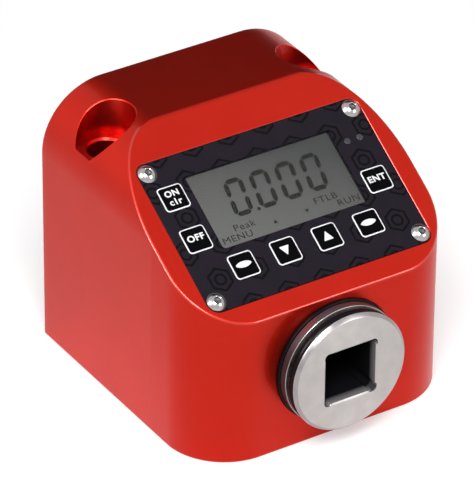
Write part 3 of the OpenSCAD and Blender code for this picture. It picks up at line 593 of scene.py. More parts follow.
# Stations round the outline, from the back left corner round the front to the back right one: the back
# edge's round, the side under the top, the crest, the slanted face, the front round and the front.
def bodyStations():
    h = housing
    e, fr, sideR = h["backEdge"], body["frontRound"], body["sideRound"]
    _, crestStart, crestEnd = crestHeight(np.array([0.0]))
    turn = np.linspace(math.pi / 2, 0, 6)
    backY = yBack - e + e * np.sin(turn)
    backInset = e - e * np.cos(turn)
    tEnds = np.linspace(math.pi / 2, 0, 44)[1:]
    sideHeight = topHeight - sideR + h["edge"] + (sideR - h["edge"]) * np.sin(tEnds)
    sideY = yFront + (sideHeight - body["frontHeight"]) / tanS
    sideY = sideY[sideY < crestStart - 0.05]
    frontStart = yFront + fr
    y = np.concatenate([[yBack], backY, np.linspace(yBack - e, crestEnd, 12)[1:],
                        np.linspace(crestEnd, crestStart, 10)[1:], sideY,
                        np.linspace(sideY[-1], frontStart, 5)[1:]])
    corner = np.linspace(0, math.pi / 2, 33)[1:]
    across = np.linspace(-(halfWidth - fr), 0, 6)[1:]
    px = np.concatenate([np.full_like(y, -halfWidth), -(halfWidth - fr) - fr * np.cos(corner), across])
    py = np.concatenate([y, frontStart - fr * np.sin(corner), np.full_like(across, yFront)])
    nx = np.concatenate([np.full_like(y, -1.0), -np.cos(corner), np.zeros_like(across)])
    ny = np.concatenate([np.zeros_like(y), -np.sin(corner), np.full_like(across, -1.0)])
    inset = np.concatenate([[e + h["strip"]], backInset, np.zeros(len(px) - 1 - len(backInset))])
    mirror = lambda values, sign: np.concatenate([values, sign * values[-2::-1]])
    return (mirror(px, -1), mirror(py, 1), mirror(nx, -1), mirror(ny, 1), mirror(inset, 1)), len(y)


def bodyBlock(mat):
    stations, sideCount = bodyStations()
    points = bodySections(*stations)
    rows, cols = points.shape[:2]
    faces = gridQuads(rows, cols, False, False)
    left = np.arange(sideCount - 1)
    right = rows - 1 - left
    for end in (0, cols - 1):
        faces += (np.stack([left, left + 1, right - 1, right], -1) * cols + end).tolist()
        faces.append([station * cols + end for station in range(sideCount - 1, rows - sideCount + 1)])
    faces.append(list(range(cols)) + [(rows - 1) * cols + i for i in range(cols - 1, -1, -1)])
    mesh = bpy.data.meshes.new("housingShell")
    mesh.from_pydata((points.reshape(-1, 3) * mm).tolist(), [], faces)
    return finishMesh("housingShell", mesh, mat)


def housingCutters(mat):
    h = housing
    c, past = h["recessBevel"], h["past"]
    w, d, r = h["recess"]
    inner, outer = roundedRect(w, d, r), roundedRect(w + 2 * c, d + 2 * c, r + c)
    recess = lifted([inner, inner, outer, outer], [-h["recessDepth"], -c, 0, past])
    cutters = [ringMesh("cutRecess", onPanel(recess), mat),
               prism("cutPocket", roundedRect(*h["pocket"], 2), -h["pocketDepth"], -1, onPanel, mat)]
    floor = topHeight - h["boreDepth"]
    shelf = floor - h["ringDepth"]
    hole, ring, bore = h["holeD"] / 2, h["ringD"] / 2, h["boreD"] / 2
    profile = [(hole, -past), (hole, shelf - h["holeBevel"]), (hole + h["holeBevel"], shelf), (ring, shelf),
               (ring, floor), (bore, floor), (bore, topHeight + past)]
    cutters += [lathe("cutBolt", profile, 128, standing, mat, s * boltX, boltY) for s in (-1, 1)]
    drive, seal = h["driveBore"] / 2, h["sealD"] / 2
    profile = [(drive, -h["driveBoreLen"]), (drive, -h["sealIn"]), (seal, -h["sealIn"]), (seal, -c),
               (seal + c, 0), (seal + c, past)]
    cutters.append(lathe("cutDrive", profile, 96, onDrive, mat))
    for low, high in np.array(h["hollows"], float):
        outline = roundedRect(*(high - low)[:2], h["hollowRound"], 2)
        x, y = (low + high)[:2] / 2
        cutters.append(prism("cutHollow", outline, low[2], high[2], standing, mat, x, y))
    cutters.append(prism("cutBase", roundedRect(*h["baseSeat"]), -past, h["baseSeatDepth"], standing, mat,
                         0, h["baseSeatY"]))
    cutters.append(prism("cutRear", roundedRect(*h["rearSeat"]), -h["rearSeatDepth"], past, onBack, mat,
                         0, h["rearSeatZ"]))
    for x, w, d in h["rearHoles"]:
        outline = roundedRect(w, d, h["rearHoleRound"], 2)
        cutters.append(prism("cutPort", outline, -h["rearHoleDepth"], -1, onBack, mat, x, h["rearSeatZ"]))
    return cutters


# Bevel of a counterbore's rim on the side round: a three-cornered section carried along the rim, at
# x = r cos t, y = r sin t and z = zc + sqrt(s^2 - x^2), where the rim lies above the counterbore's floor.
def cutBoreRim(side, mat):
    h = housing
    c, r, sideR = h["rimBevel"], h["boreD"] / 2, body["sideRound"]
    middleX, middleZ = halfWidth - sideR, topHeight - sideR
    low = math.sqrt(sideR ** 2 - (topHeight - h["boreDepth"] - middleZ) ** 2)
    reach = math.acos((low + middleX - boltX) / r)
    t = np.linspace(reach, 2 * math.pi - reach, 150)[:, None]
    x = boltX + r * np.cos(t) - middleX
    z = np.sqrt(sideR ** 2 - x ** 2)
    rim = np.hstack([x + middleX, boltY + r * np.sin(t), z + middleZ])
    along = np.hstack([-r * np.sin(t), r * np.cos(t), x / z * r * np.sin(t)])
    along /= np.linalg.norm(along, axis=1, keepdims=True)
    skinOut = np.hstack([x / sideR, 0 * x, z / sideR])
    wallOut = np.hstack([-np.cos(t), -np.sin(t), 0 * t])
    onSkin = np.cross(along, skinOut)
    onSkin *= -np.sign((onSkin * wallOut).sum(1, keepdims=True))
    onWall = np.cross(along, wallOut)
    onWall *= -np.sign(onWall[:, 2:])
    skinEnd, wallEnd = rim + c * onSkin, rim + c * onWall
    past = 0.4 * (skinEnd - wallEnd)
    section = np.stack([skinEnd + past, wallEnd - past, rim + 1.5 * c * (skinOut + wallOut)], 1)
    return ringMesh("cutRim", section * np.array([side, 1, 1]) * mm, mat)


redMat = redAnodised()
shell = carved(bodyBlock(redMat), housingCutters(redMat) + [cutBoreRim(side, redMat) for side in (-1, 1)])
settle(shell, "body", "red_anodise", "housing")
print("housing:", len(shell.data.polygons), "faces")


# Panel film

film = {
    "size": (85.4, 56.5, 3.85),
    "low": -0.40, "high": -0.10, "bevel": 0.05,
    "window": (55.4, 28.0, 1.2), "windowV": 5.85,
    "keyHole": (9.6, 9.4, 1.5),
    "lampHole": 2.7, "screwHole": 3.5,
    "color": (0.0135, 0.0103, 0.0165), "shade": 0.85,
    "mark": (0.0012, 0.0011, 0.0015),
    "roughness": (0.36, 0.46), "ior": 1.16,
    "grain": 0.12, "grainDepth": 0.002, "cloud": 9,
    "pitch": (13.6, 11.8),      # staggered rows of nut outlines, tone on tone
    "nut": 3.6, "nutLine": 0.75, "nutHole": 1.8,
}
screwPlaces = fourCorners(39.3, 24.55)
lampPlaces = [(32.1, 14.0), (36.9, 14.0)]
keyPlaces = {
    "key_on": (-34.8, 14.0), "key_off": (-34.8, -2.0), "key_enter": (34.8, -2.0),
    "key_soft_left": (-24.0, -15.5), "key_down": (-8.0, -15.5),
    "key_up": (8.0, -15.5), "key_soft_right": (24.0, -15.5),
}


# Panel frame in a material, in millimetres about a point up the panel.
def panelPlace(tree, v=0.0):
    return objectPlace(tree, tuple(onPanel((0, v, 0))), (-slant, 0, 0), 1 / mm)


# Distance from a hexagon's middle: the greatest of |x|, |x/2 + y s| and |x/2 - y s|, s = sqrt(3) / 2.
def hexagonReach(x, y):
    half, tall = calc("MULTIPLY", x, 0.5), calc("MULTIPLY", y, math.sqrt(3) / 2)
    slopes = calc("MAXIMUM", calc("ABSOLUTE", calc("ADD", half, tall)),
                  calc("ABSOLUTE", calc("SUBTRACT", half, tall)))
    return calc("MAXIMUM", calc("ABSOLUTE", x), slopes)


# One where the reach lies within a line's width of the given size, else nothing.
def lineAt(reach, size, width):
    return calc("LESS_THAN", calc("ABSOLUTE", calc("SUBTRACT", reach, size)), width / 2)


# Printed film: fine texture in the bump, and faint nut outlines in staggered rows.
def printedFilm():
    f = film
    mat, tree, shader = newMaterial("printedFilm", f["color"], ior=f["ior"])
    place = panelPlace(tree)
    u, v, _ = partsOf(place)
    pu, pv = f["pitch"]
    row = calc("FLOOR", calc("DIVIDE", v, pv))
    odd = calc("MULTIPLY", calc("PINGPONG", row, 1.0), pu / 2)
    x = calc("SUBTRACT", calc("FLOORED_MODULO", calc("ADD", u, odd), pu), pu / 2)
    y = calc("SUBTRACT", calc("FLOORED_MODULO", v, pv), pv / 2)
    mark = calc("MAXIMUM", lineAt(hexagonReach(x, y), f["nut"], f["nutLine"]),
                lineAt(awayFrom(x, y), f["nutHole"], f["nutLine"]))
    grain = speckle(place, f["grain"])
    cloud = speckle(place, f["cloud"], 3.0)
    base = mixColors(spread(cloud, 0, 1), shaded(f["color"], f["shade"]), f["color"])
    feedAll(shader, {
        "Base Color": mixColors(mark, base, f["mark"]),
        "Roughness": spread(grain, *f["roughness"]),
    })
    addBump(shader, grain, f["grainDepth"])
    return mat


def makeFilm():
    f = film
    mat = printedFilm()
    piece = bevelled("overlayFilm", f["size"], f["low"], f["high"], f["bevel"], mat, onPanel, n=14)
    holes = [(roundedRect(*f["window"], 6), [(0, f["windowV"])]),
             (roundedRect(*f["keyHole"], 6), keyPlaces.values()),
             (circle(f["lampHole"] / 2, 40), lampPlaces),
             (circle(f["screwHole"] / 2, 40), screwPlaces)]
    cutters = [prism("cutFilm", outline, -1, 1, onPanel, mat, u, v)
               for outline, places in holes for u, v in places]
    settle(carved(piece, cutters), "body", "overlay_film", "overlay")


makeFilm()
print("panel film made")


# Keys and their legends

key = {
    "w": 9.2, "h": 9.0, "r": 1.3,
    "border": 0.46,       # width of the white outline
    "fill": (0.0022, 0.0020, 0.0028),
    "white": (0.83, 0.83, 0.85),
    "foot": 0.0, "ink": 0.064,     # heights of the legends' foot and top
    "widen": 1.08,
}
keyFill = grainy("keyFill", key["fill"], 0.8, 0, 0.34, 0.14, 0.002, ior=1.09)
keyWhite = grainy("keyWhite", key["white"], 0.93, 0, 0.5, 0.2, 0.001)


# Key cap: rounded squares that shrink by the inset d while the height follows a low crown. The third
# number of a step is the finish that starts there, black or white.
def makeKey(node, u, v):
    k = key
    b = k["border"]
    steps = [(0.0, -2.1, 0), (0.0, -0.16, 0), (0.05, -0.07, 1), (0.14, -0.03, 1), (b, -0.015, 1),
             (b + 0.02, -0.03, 0), (b + 0.12, -0.03, 0), (b + 0.3, -0.005, 0), (1.3, 0.015, 0),
             (2.2, 0.035, 0), (3.4, 0.048, 0)]
    outlines = [roundedRect(k["w"] - 2 * d, k["h"] - 2 * d, max(k["r"] - d, 0.25), 7) for d, _, _ in steps]
    rings = onPanel(moved(lifted(outlines, [w for _, w, _ in steps]), u, v))
    first, *rest = node.split("_")
    piece = ringMesh(first + "".join(part.capitalize() for part in rest) + "Cap", rings, [keyFill, keyWhite],
                     slots=[s for _, _, s in steps[1:]], smooth=50)
    settle(piece, node, "key_film", node)


# Outline with rounded corners: at each corner a parabola's arc that touches both of its sides.
def softCorners(corners, r, n=5):
    corners = np.asarray(corners, float)
    before, after = np.roll(corners, 1, 0) - corners, np.roll(corners, -1, 0) - corners
    a = before / np.linalg.norm(before, axis=1, keepdims=True)
    b = after / np.linalg.norm(after, axis=1, keepdims=True)
    half = np.arccos(np.clip((a * b).sum(1), -1, 1)) / 2
    cut = (r / np.tan(half))[:, None]
    t = np.linspace(0, 1, n)[None, :, None]
    start, end = (corners + a * cut)[:, None], (corners + b * cut)[:, None]
    return ((1 - t) ** 2 * start + 2 * t * (1 - t) * corners[:, None] + t ** 2 * end).reshape(-1, 2)


# Plain letters: the built-in typeface, thickened, made a mesh and laid on the panel.
def inkWord(name, word, size, u, v, rider, foot, top, mat, slot, bold, width, spacing=1.1):
    curve = bpy.data.curves.new(name, "FONT")
    curve.body = word
    curve.size = size
    curve.offset = bold * size
    curve.align_x, curve.align_y = "CENTER", "CENTER"
    curve.space_character = spacing
    curve.extrude = (top - foot) / 2
    curve.resolution_u = 4
    holder = newObject(name, curve)
    view = bpy.context.evaluated_depsgraph_get()
    mesh = bpy.data.meshes.new_from_object(holder.evaluated_get(view))
    bpy.data.objects.remove(holder)
    points = np.empty(len(mesh.vertices) * 3)
    mesh.vertices.foreach_get("co", points)
    points = points.reshape(-1, 3) * np.array([width, 1, 1])
    mesh.vertices.foreach_set("co", onPanel(moved(points, u, v, (top + foot) / 2)).ravel())
    mesh.materials.clear()
    return settle(finishMesh(name, mesh, mat, 40), rider, slot)


# Soft key's oval: x = a cos t, y = b sin t |sin t|^p, a little pointed at both ends.
def oval(a, b, p=0.25, n=48):
    t = wholeTurn(n)
    return np.stack([a * np.cos(t), b * np.sin(t) * np.abs(np.sin(t)) ** p], -1)


upMark = softCorners([(0, 1.95), (-1.85, -1.45), (1.85, -1.45)], 0.2)
softMark = oval(2.9, 1.1)
# name: word, size, rise above the key's middle, key, boldness, spacing
wordLegends = {
    "legendOn": ("ON", 3.0, 1.55, "key_on", 0.035, 1.1),
    "legendClear": ("clr", 3.2, -1.55, "key_on", 0.03, 1.28),
    "legendOff": ("OFF", 3.1, 0.4, "key_off", 0.035, 1.1),
    "legendEnter": ("ENT", 3.1, 0.3, "key_enter", 0.035, 1.1),
}
# name: outline, rise above the key's middle, key
markLegends = {
    "legendDown": (-upMark, 0.3, "key_down"),
    "legendUp": (upMark, 0.2, "key_up"),
    "legendSoftLeft": (softMark, 0.2, "key_soft_left"),
    "legendSoftRight": (softMark, 0.2, "key_soft_right"),
}


def makeLegends():
    k = key
    for name, (word, size, rise, node, bold, spacing) in wordLegends.items():
        u, v = keyPlaces[node]
        inkWord(name, word, size, u, v + rise, node, k["foot"], k["ink"], keyWhite, "key_film", bold,
                k["widen"], spacing)
    for name, (outline, rise, node) in markLegends.items():
        u, v = keyPlaces[node]
        mark = prism(name, outline, k["foot"], k["ink"], onPanel, keyWhite, u, v + rise, 40)
        settle(mark, node, "key_film")


for node, (u, v) in keyPlaces.items():
    makeKey(node, u, v)
makeLegends()
print("keys and legends made")


# Panel screws

screw = {
    "headR": 3.2, "headH": 1.9, "shankR": 1.5, "length": 8.0, "rim": 0.12,
    "socketR": 1.32, "socketDepth": 1.25, "mouth": 1.48,
    "turns": (12, 47, 31, 5),
}
steelScrew = grainy("steelScrew", (0.42, 0.405, 0.40), 0.85, 1.0, 0.20, 0.10, 0.0012)
# Painted shade for the screws' hex sockets: a dark copy of the steel.
screwSocketShade = grainy("screwSocketShade", (0.10, 0.095, 0.10), 0.8, 0.8, 0.40, 0.10, 0.0012)


# Hexagon of corner radius r as a polar curve: r cos 30 / cos(((t + 30) mod 60) - 30).
def hexagon(r, n=96):
    t = wholeTurn(n)
    return polar(t, r * math.cos(math.pi / 6) / np.cos(np.mod(t, math.pi / 3) - math.pi / 6))


def turn(outline, degrees):
    a = math.radians(degrees)
    return outline @ np.array([[math.cos(a), math.sin(a)], [-math.sin(a), math.cos(a)]])


# Button head: an arc of a sphere, r = R sin t, with a hexagon socket, bevelled at its mouth and painted dark
# as shade inside.
def buttonScrew(u, v, degrees):
    s = screw
    head, rim = s["headR"], s["rim"]
    domeR = (head ** 2 + s["headH"] ** 2) / (2 * s["headH"])
    dome = np.linspace(head - 0.05, s["mouth"], 14)
    domeHeight = s["headH"] - domeR + np.sqrt(domeR ** 2 - dome ** 2)
    radii = [s["shankR"], s["shankR"], head - rim, head - 0.03, head, *dome]
    heights = [-s["length"], 0, 0, 0.03, rim, *np.maximum(domeHeight, rim)]
    floor = s["headH"] - s["socketDepth"]
    outlines = [circle(r) for r in radii] + [hexagon(s["socketR"]), hexagon(s["socketR"]), circle(0.3)]
    heights += [heights[-1] - 0.10, floor, floor - 0.35]
    rings = moved(lifted([turn(o, degrees) for o in outlines], heights), u, v, film["high"])
    # the socket's walls and floor take the painted shade
    slots = [0] * (len(rings) - 3) + [1, 1]
    return ringMesh("panelScrew", onPanel(rings), [steelScrew, screwSocketShade], slots=slots, smooth=35)


settle(joined("panelScrewSet", [buttonScrew(u, v, a) for (u, v), a in zip(screwPlaces, screw["turns"])]),
       "body", "steel_screw", "panel_screws")
print("panel screws made")


# Display

display = {
    "paintedShadeGrey": (0.066, 0.068, 0.067), "paintedLitGrey": (0.152, 0.155, 0.150),
    "paintedShadeSlope": (0.012, 0.024),            # change of the painted shade for each millimetre across and up
    "ink": (0.022, 0.023, 0.020), "faint": 1.05,
    "markFoot": -2.11, "markTop": -2.088,    # on the glass, whose top lies at -2.1
    "digitLeft": (-16.3, -6.6, 3.1, 12.8),   # left side of each digit at half its height
    "digitFoot": 1.4, "digitW": 7.2, "digitH": 13.6, "lean": 0.12,
    "bar": 1.7, "gap": 0.14, "waist": 0.55,  # the waist is half the gap between upper and lower posts
    "point": 0.62, "pointShift": (-1.5, 0.6),
    "arrows": (((-5.9, -4.6), (-4.2, -4.6), (-5.05, -3.3)), ((6.4, -3.3), (8.1, -3.3), (7.25, -4.6))),
    "wordSize": 3.3, "wordWidth": 1.2,
    "words": (("Peak", -15.9, -2.0), ("MENU", -20.0, -5.2), ("FTLB", 15.4, -1.9), ("RUN", 22.8, -5.0)),
}


# Grey display: painted shade that changes slowly across it, lighter towards the lower left, and a very fine
# grain.
def displayGrey():
    d = display
    mat, tree, shader = newMaterial("displayGrey", d["paintedLitGrey"], ior=1.12)
    place = panelPlace(tree, film["windowV"])
    u, v, _ = partsOf(place)
    slopeU, slopeV = d["paintedShadeSlope"]
    shade = spread(calc("ADD", calc("MULTIPLY", u, slopeU), calc("MULTIPLY", v, slopeV)), 1, 0, -0.5, 0.5)
    grain = speckle(place, 0.1, 1.0)
    # the painted shade mixes the lit and the shaded grey
    feedAll(shader, {"Base Color": mixColors(shade, d["paintedShadeGrey"], d["paintedLitGrey"]),
                     "Roughness": spread(grain, 0.3, 0.4)})
    addBump(shader, grain, 0.0006)
    return mat


# Clear window: see-through, with a mirror share that follows Fresnel's rule.
def clearWindow():
    mat = bpy.data.materials.new("clearWindow")
    mat.use_nodes = True
    tree = mat.node_tree
    tree.nodes.remove(tree.nodes["Principled BSDF"])
    clear = addNode(tree, "ShaderNodeBsdfTransparent", {"Color": (0.97, 0.97, 0.97)}).outputs[0]
    gloss = addNode(tree, "ShaderNodeBsdfGlossy", {"Roughness": 0.06}).outputs[0]
    share = addNode(tree, "ShaderNodeFresnel", {"IOR": 1.18}).outputs[0]
    both = addNode(tree, "ShaderNodeMixShader", {0: share, 1: clear, 2: gloss})
    feed(tree.nodes["Material Output"].inputs["Surface"], both.outputs[0])
    return mat


inkDark = grainy("displayInk", display["ink"], 0.9, 0, 0.6, 0.2, 0.0005, ior=1.1)
inkFaint = grainy("displayInkFaint", shaded(display["ink"], display["faint"]), 0.9, 0, 0.6, 0.2, 0.0005,
                  ior=1.1)


# Flat mark on the display's glass.
def displayMark(outline):
    return prism("mark", outline, display["markFoot"], display["markTop"], onPanel, inkDark)


# Bars of a nought, top, foot and four posts: each is a six-sided bar, sheared by the lean.
def digitBars(left):
    d = display
    w, h, b, g = d["digitW"], d["digitH"], d["bar"], d["gap"]
    level = lambda x0, x1, y: [(x0 + b / 2 + g, y), (x0 + b + g, y + b / 2), (x1 - b - g, y + b / 2),
                               (x1 - b / 2 - g, y), (x1 - b - g, y - b / 2), (x0 + b + g, y - b / 2)]
    post = lambda x, y0, y1: [(x, y0), (x + b / 2, y0 + b / 2), (x + b / 2, y1 - b / 2),
                              (x, y1), (x - b / 2, y1 - b / 2), (x - b / 2, y0 + b / 2)]
    lowX, highX = b / 2, w - b / 2
    upper, lower = (h / 2 + d["waist"], h - b / 2 - g), (b / 2 + g, h / 2 - d["waist"])
    marks = []
    for bar in (level(0, w, h - b / 2), post(highX, *upper), post(highX, *lower), level(0, w, b / 2),
                post(lowX, *lower), post(lowX, *upper)):
        points = np.asarray(bar, float)
        points[:, 0] += left + points[:, 1] * d["lean"] - d["lean"] * h / 2
        points[:, 1] += d["digitFoot"]
        marks.append(displayMark(points))
    return marks


def displayInk():
    d = display
    marks = [bar for left in d["digitLeft"] for bar in digitBars(left)]
    x, y = d["pointShift"]
    marks.append(displayMark(circle(d["point"], 20) + np.array([d["digitLeft"][1] + x, d["digitFoot"] + y])))
    marks += [displayMark(softCorners(arrow, 0.1)) for arrow in d["arrows"]]
    settle(joined("displayInkSet", marks), "body", "lcd_grey")
    for word, u, v in d["words"]:
        inkWord("word" + word.capitalize(), word, d["wordSize"], u, v, "body", d["markFoot"], d["markTop"],
                inkFaint, "lcd_grey", 0.0, d["wordWidth"])


displayInk()
print("display made")


# Lamps

lamp = {
    "r": 1.2, "rise": 0.3, "foot": -1.9, "rim": -0.14, "dome": -0.1,
    "color": (0.055, 0.053, 0.067),
}


# Lamp lens: a low dome, r = R cos t and z = rise sin t, on a short stem.
def makeLamps():
    p = lamp
    mat = grainy("lampLens", p["color"], 0.7, 0, 0.25, 0.3, 0.001, ior=1.3)
    profile = [(p["r"], p["foot"]), (p["r"], p["rim"])]
    profile += [(p["r"] * math.cos(a), p["dome"] + p["rise"] * math.sin(a))
                for a in np.linspace(0, math.pi / 2 * 0.93, 10)]
    made = [lathe("lamp", profile, 40, onPanel, mat, u, v, smooth=60) for u, v in lampPlaces]
    settle(joined("indicatorDomes", made), "body", "lamp_lens", "indicator_lenses")


makeLamps()
print("lamps made")


# Drive

drive = {
    "discR": 21.5, "reach": 10.0, "bevel": 1.1, "land": 1.5, "groove": 4.2, "grooveR": 17.4,
    "edge": 0.12,         # small bevel on the disc's back and in the groove's mouth
    "back": 1.4, "journalR": 17.0, "journalEnd": -21.0, "barHalf": 9.5, "barCorner": 0.6, "barBore": 6.0,
    "flangeR": 19.9, "flange": 10.0, "end": -57.0,
    "half": 9.7, "leadIn": 0.45, "relief": 1.6, "socket": 28.0,
    "ringMiddle": 19.4, "ringR": 2.0,
    "sealR": 22.05, "sealIn": 2.0, "sealOut": 1.3, "sealHole": 17.05, "sealRound": 0.35,
    "lip": ((18.6, 0), (18.3, -0.35), (17.35, -0.25), (17.05, -0.5)),     # seal's lip, below its outer face
}


# Square with relieved corners: straight sides at equal polar steps, and round each corner an arc of the
# relief's radius about a middle that lies the relief less the lead-in inside the corner.
# mouth moves the straight sides, and the near part of each arc, out to the lead-in's edge.
def reliefSquare(mouth=0.0):
    d = drive
    half, r = d["half"], d["relief"]
    c = half + d["leadIn"] - r
    start = math.asin((half - c) / r)
    limit = math.atan2(c - r * math.cos(start), half)
    side = np.linspace(-limit, limit, 25)
    straight = np.stack([np.full_like(side, half + mouth), half * np.tan(side)], -1)
    arcTurn = np.linspace(-(math.pi / 2 - start), math.pi - start, 19)[1:-1]
    arc = c + polar(arcTurn, r)
    if mouth:
        arc[arcTurn < 0, 0] = half + mouth
        arc[arcTurn > math.pi / 2, 1] = half + mouth
    quarter = np.concatenate([straight, arc])
    return np.concatenate([turn(quarter, 90 * k) for k in range(4)])


# Polar angles of the square's points, so that a circle and a plain square join it with no twist.
def squareTurns():
    x, y = reliefSquare().T
    return np.arctan2(y, x)


def matchedCircle(r):
    return polar(squareTurns(), r)


def matchedSquare(half, corner):
    t = squareTurns()
    reach = half / np.maximum(np.abs(np.cos(t)), np.abs(np.sin(t)))
    return polar(t, np.minimum(reach, half * math.sqrt(2) - corner))


# Drive end: one closed skin, carried out over the bar, journal and disc, across the face and down the
# socket. The third value of a row is the finish that starts there.
def makeDrive():
    d, f = drive, steelFinish
    axis = tuple(onDrive((0, 0, 0)))
    finishes = [turnedSteel("turnedSteel", axis, f["color"], f["dull"]), socketShadedSteel(axis, -d["reach"]),
                # the band and the bevel take darker copies of the steel, painted shade
                turnedSteel("bandShadedSteel", axis, f["band"], shaded(f["band"], f["dim"]), f["bandMetallic"]),
                turnedSteel("bevelShadedSteel", axis, f["bevel"], shaded(f["bevel"], f["dim"]))]
    steel, socket, band, bevel = range(4)
    outR, z1, e = d["discR"], d["reach"], d["edge"]
    flangeTop, faceR = d["end"] + d["flange"], outR - d["bevel"]
    grooveHigh = z1 - d["land"]
    grooveLow = grooveHigh - d["groove"]
    bar = matchedSquare(d["barHalf"], d["barCorner"])
    rows = [(matchedCircle(d["flangeR"]), d["end"], steel), (matchedCircle(d["flangeR"]), flangeTop, steel),
            (bar, flangeTop, steel), (bar, d["journalEnd"], steel)]
    disc = [(d["journalR"], d["journalEnd"], steel), (d["journalR"], d["back"], steel),
            (outR - e, d["back"], steel), (outR, d["back"] + e, band),
            (outR, grooveLow - e, steel), (outR - e, grooveLow, steel),
            (d["grooveR"], grooveLow, steel), (d["grooveR"], grooveHigh, steel),
            (outR - e, grooveHigh, steel), (outR, grooveHigh + e, steel),
            (outR, z1 - d["bevel"] - 0.03, steel), (outR - 0.03, z1 - d["bevel"] + 0.03, bevel),
            (faceR + 0.05, z1 - 0.05, steel), (faceR - 0.03, z1, steel), (faceR - 0.3, z1, steel)]
    rows += [(matchedCircle(r), z, finish) for r, z, finish in disc]
    rim, mouth = matchedCircle(faceR - 0.3), reliefSquare(d["leadIn"])
    rows += [((1 - s) * rim + s * mouth, z1, steel) for s in (0.25, 0.5, 0.75, 1)]
    floor = z1 - d["socket"]
    rows += [(reliefSquare(), z, socket) for z in (z1 - d["leadIn"], z1 - d["leadIn"] - 3, floor)]
    rows += [(matchedCircle(d["barBore"]), z, socket) for z in (floor, d["end"])]
    outlines, heights, slots = zip(*rows)
    rings = onDrive(lifted(outlines, heights))
    piece = ringMesh("driveEnd", rings, finishes, loop=True, smooth=28, slots=slots)
    settle(piece, "body", "steel_drive", "transducer")


# Rubber ring: x = (M + m cos t) cos s, y = (M + m cos t) sin s, z = m sin t.
def makeRing():
    d = drive
    radii, rise = polar(wholeTurn(28), d["ringR"]).T
    middle = d["reach"] - d["land"] - d["groove"] / 2
    profile = np.stack([d["ringMiddle"] + radii, middle + rise], -1)
    settle(lathe("driveRing", profile, 128, onDrive, rubberMat, loop=True, smooth=60),
           "body", "rubber", "drive_ring")


# Shaft seal: a turned ring with a rounded outer corner and a lip that slopes to the journal.
def makeSeal():
    d = drive
    e, outer = d["sealRound"], d["sealOut"]
    profile = [(d["sealHole"], -d["sealIn"]), (d["sealR"], -d["sealIn"])]
    profile += [(d["sealR"] - e + e * math.sin(a), outer - e + e * math.cos(a))
                for a in np.linspace(math.pi / 2, 0, 6)]
    profile += [(r, outer + z) for r, z in d["lip"]]
    settle(lathe("shaftSeal", profile, 128, onDrive, rubberMat, loop=True), "body", "rubber", "shaft_seal")


rubberMat = grainy("blackRubber", (0.0040, 0.0036, 0.0048), 0.8, 0, 0.26, 0.25, 0.002, ior=1.18)
makeDrive()
makeRing()
makeSeal()
print("drive made")


# Plates on the back and the underside

rearPlate = {
    "size": (45.7, 25.7, 2.85), "middle": (0, 30.0), "low": -1.8, "high": -0.2, "bevel": 0.25,
    "screwAt": (19.8, 9.8), "turns": (-12, 46, -46, 12),
    "screw": (2.2, 1.0, 1.25, 4.5),        # head's radius and height, shank's radius and length
    # radius and height, up the countersink
    "sink": ((1.5, -4), (1.5, -1.35), (2.35, -0.45), (2.35, 1)),
}
basePlate = {
    "size": (59.7, 35.7, 3.85), "middle": (0, 33.0), "low": -2.2, "high": -0.2, "bevel": 0.25,
    "screwAt": (27.2, 14.8), "turns": (-34, -12, 12, 34),
    "screw": (2.3, 1.1, 1.25, 8.0),
    "sink": ((1.5, -4), (1.5, -1.5), (2.45, -0.5), (2.45, 1)),
}
# Places in the back frame.
ports = {
    "jack": (11.0, 30.0), "jackD": 11.0, "jackHole": 6.0, "jackPin": 2.1,
    "port": (-10.0, 30.0), "portSize": (12.0, 11.0, 0.8), "portMouth": (8.6, 7.8, 1.4),
    "tongue": (5.6, 3.2, 0.3),
    "depth": 9.0, "foot": -12.0,
    "jackHoleD": 11.3, "portHole": (12.3, 11.3, 0.9),     # through the rear plate
}
blackMetal = grainy("blackAnodised", (0.016, 0.016, 0.018), 0.8, 0.3, 0.42, 0.14, 0.003)
portSteel = grainy("portSteel", (0.55, 0.54, 0.52), 0.85, 1.0, 0.28, 0.2, 0.001)
blackPlastic = grainy("blackPlastic", (0.012, 0.012, 0.013), 0.85, 0, 0.45, 0.16, 0.004)


# Flat screw head in its countersink: a cone, a flat top and a hexagon socket.
def flatScrew(place, x, y, z, headR, headH, shankR, length, degrees):
    socket = shankR * 0.62
    outlines = [circle(r, 48) for r in (shankR, shankR, headR - 0.05, headR, headR - 0.06, socket * 1.12)]
    outlines += [hexagon(socket, 48), hexagon(socket, 48), circle(0.15, 48)]
    heights = [-length, -headH, -0.1, -0.06, 0, 0, -0.08, -headH * 0.9, -headH * 1.1]
    rings = moved(lifted([turn(o, degrees) for o in outlines], heights), x, y, z)
    return ringMesh("flatScrew", place(rings), steelScrew, smooth=35)


# Bevelled plate with openings, held by a flat screw at each corner.
def makePlate(p, place, plateName, plateNode, screwName, screwNode, openings=()):
    x, y = p["middle"]
    corners = [(x + cx, y + cy) for cx, cy in fourCorners(*p["screwAt"])]
    piece = bevelled(plateName, p["size"], p["low"], p["high"], p["bevel"], blackMetal, place, x, y)
    sinks = [lathe("cutScrew", p["sink"], 40, place, blackMetal, cx, cy) for cx, cy in corners]
    settle(carved(piece, [*openings, *sinks]), "body", "black_metal", plateNode)
    screws = [flatScrew(place, cx, cy, p["high"], *p["screw"], degrees)
              for (cx, cy), degrees in zip(corners, p["turns"])]
    settle(joined(screwName, screws), "body", "steel_screw", screwNode)


def makeRearPlate():
    q = ports
    r = q["jackHoleD"] / 2
    openings = [prism("cutJack", circle(r, 72), -3, 1, onBack, blackMetal, *q["jack"]),
                prism("cutPort", roundedRect(*q["portHole"], 5), -3, 1, onBack, blackMetal, *q["port"])]
    makePlate(rearPlate, onBack, "rearPanel", "rear_plate", "rearScrews", "rear_plate_screws", openings)


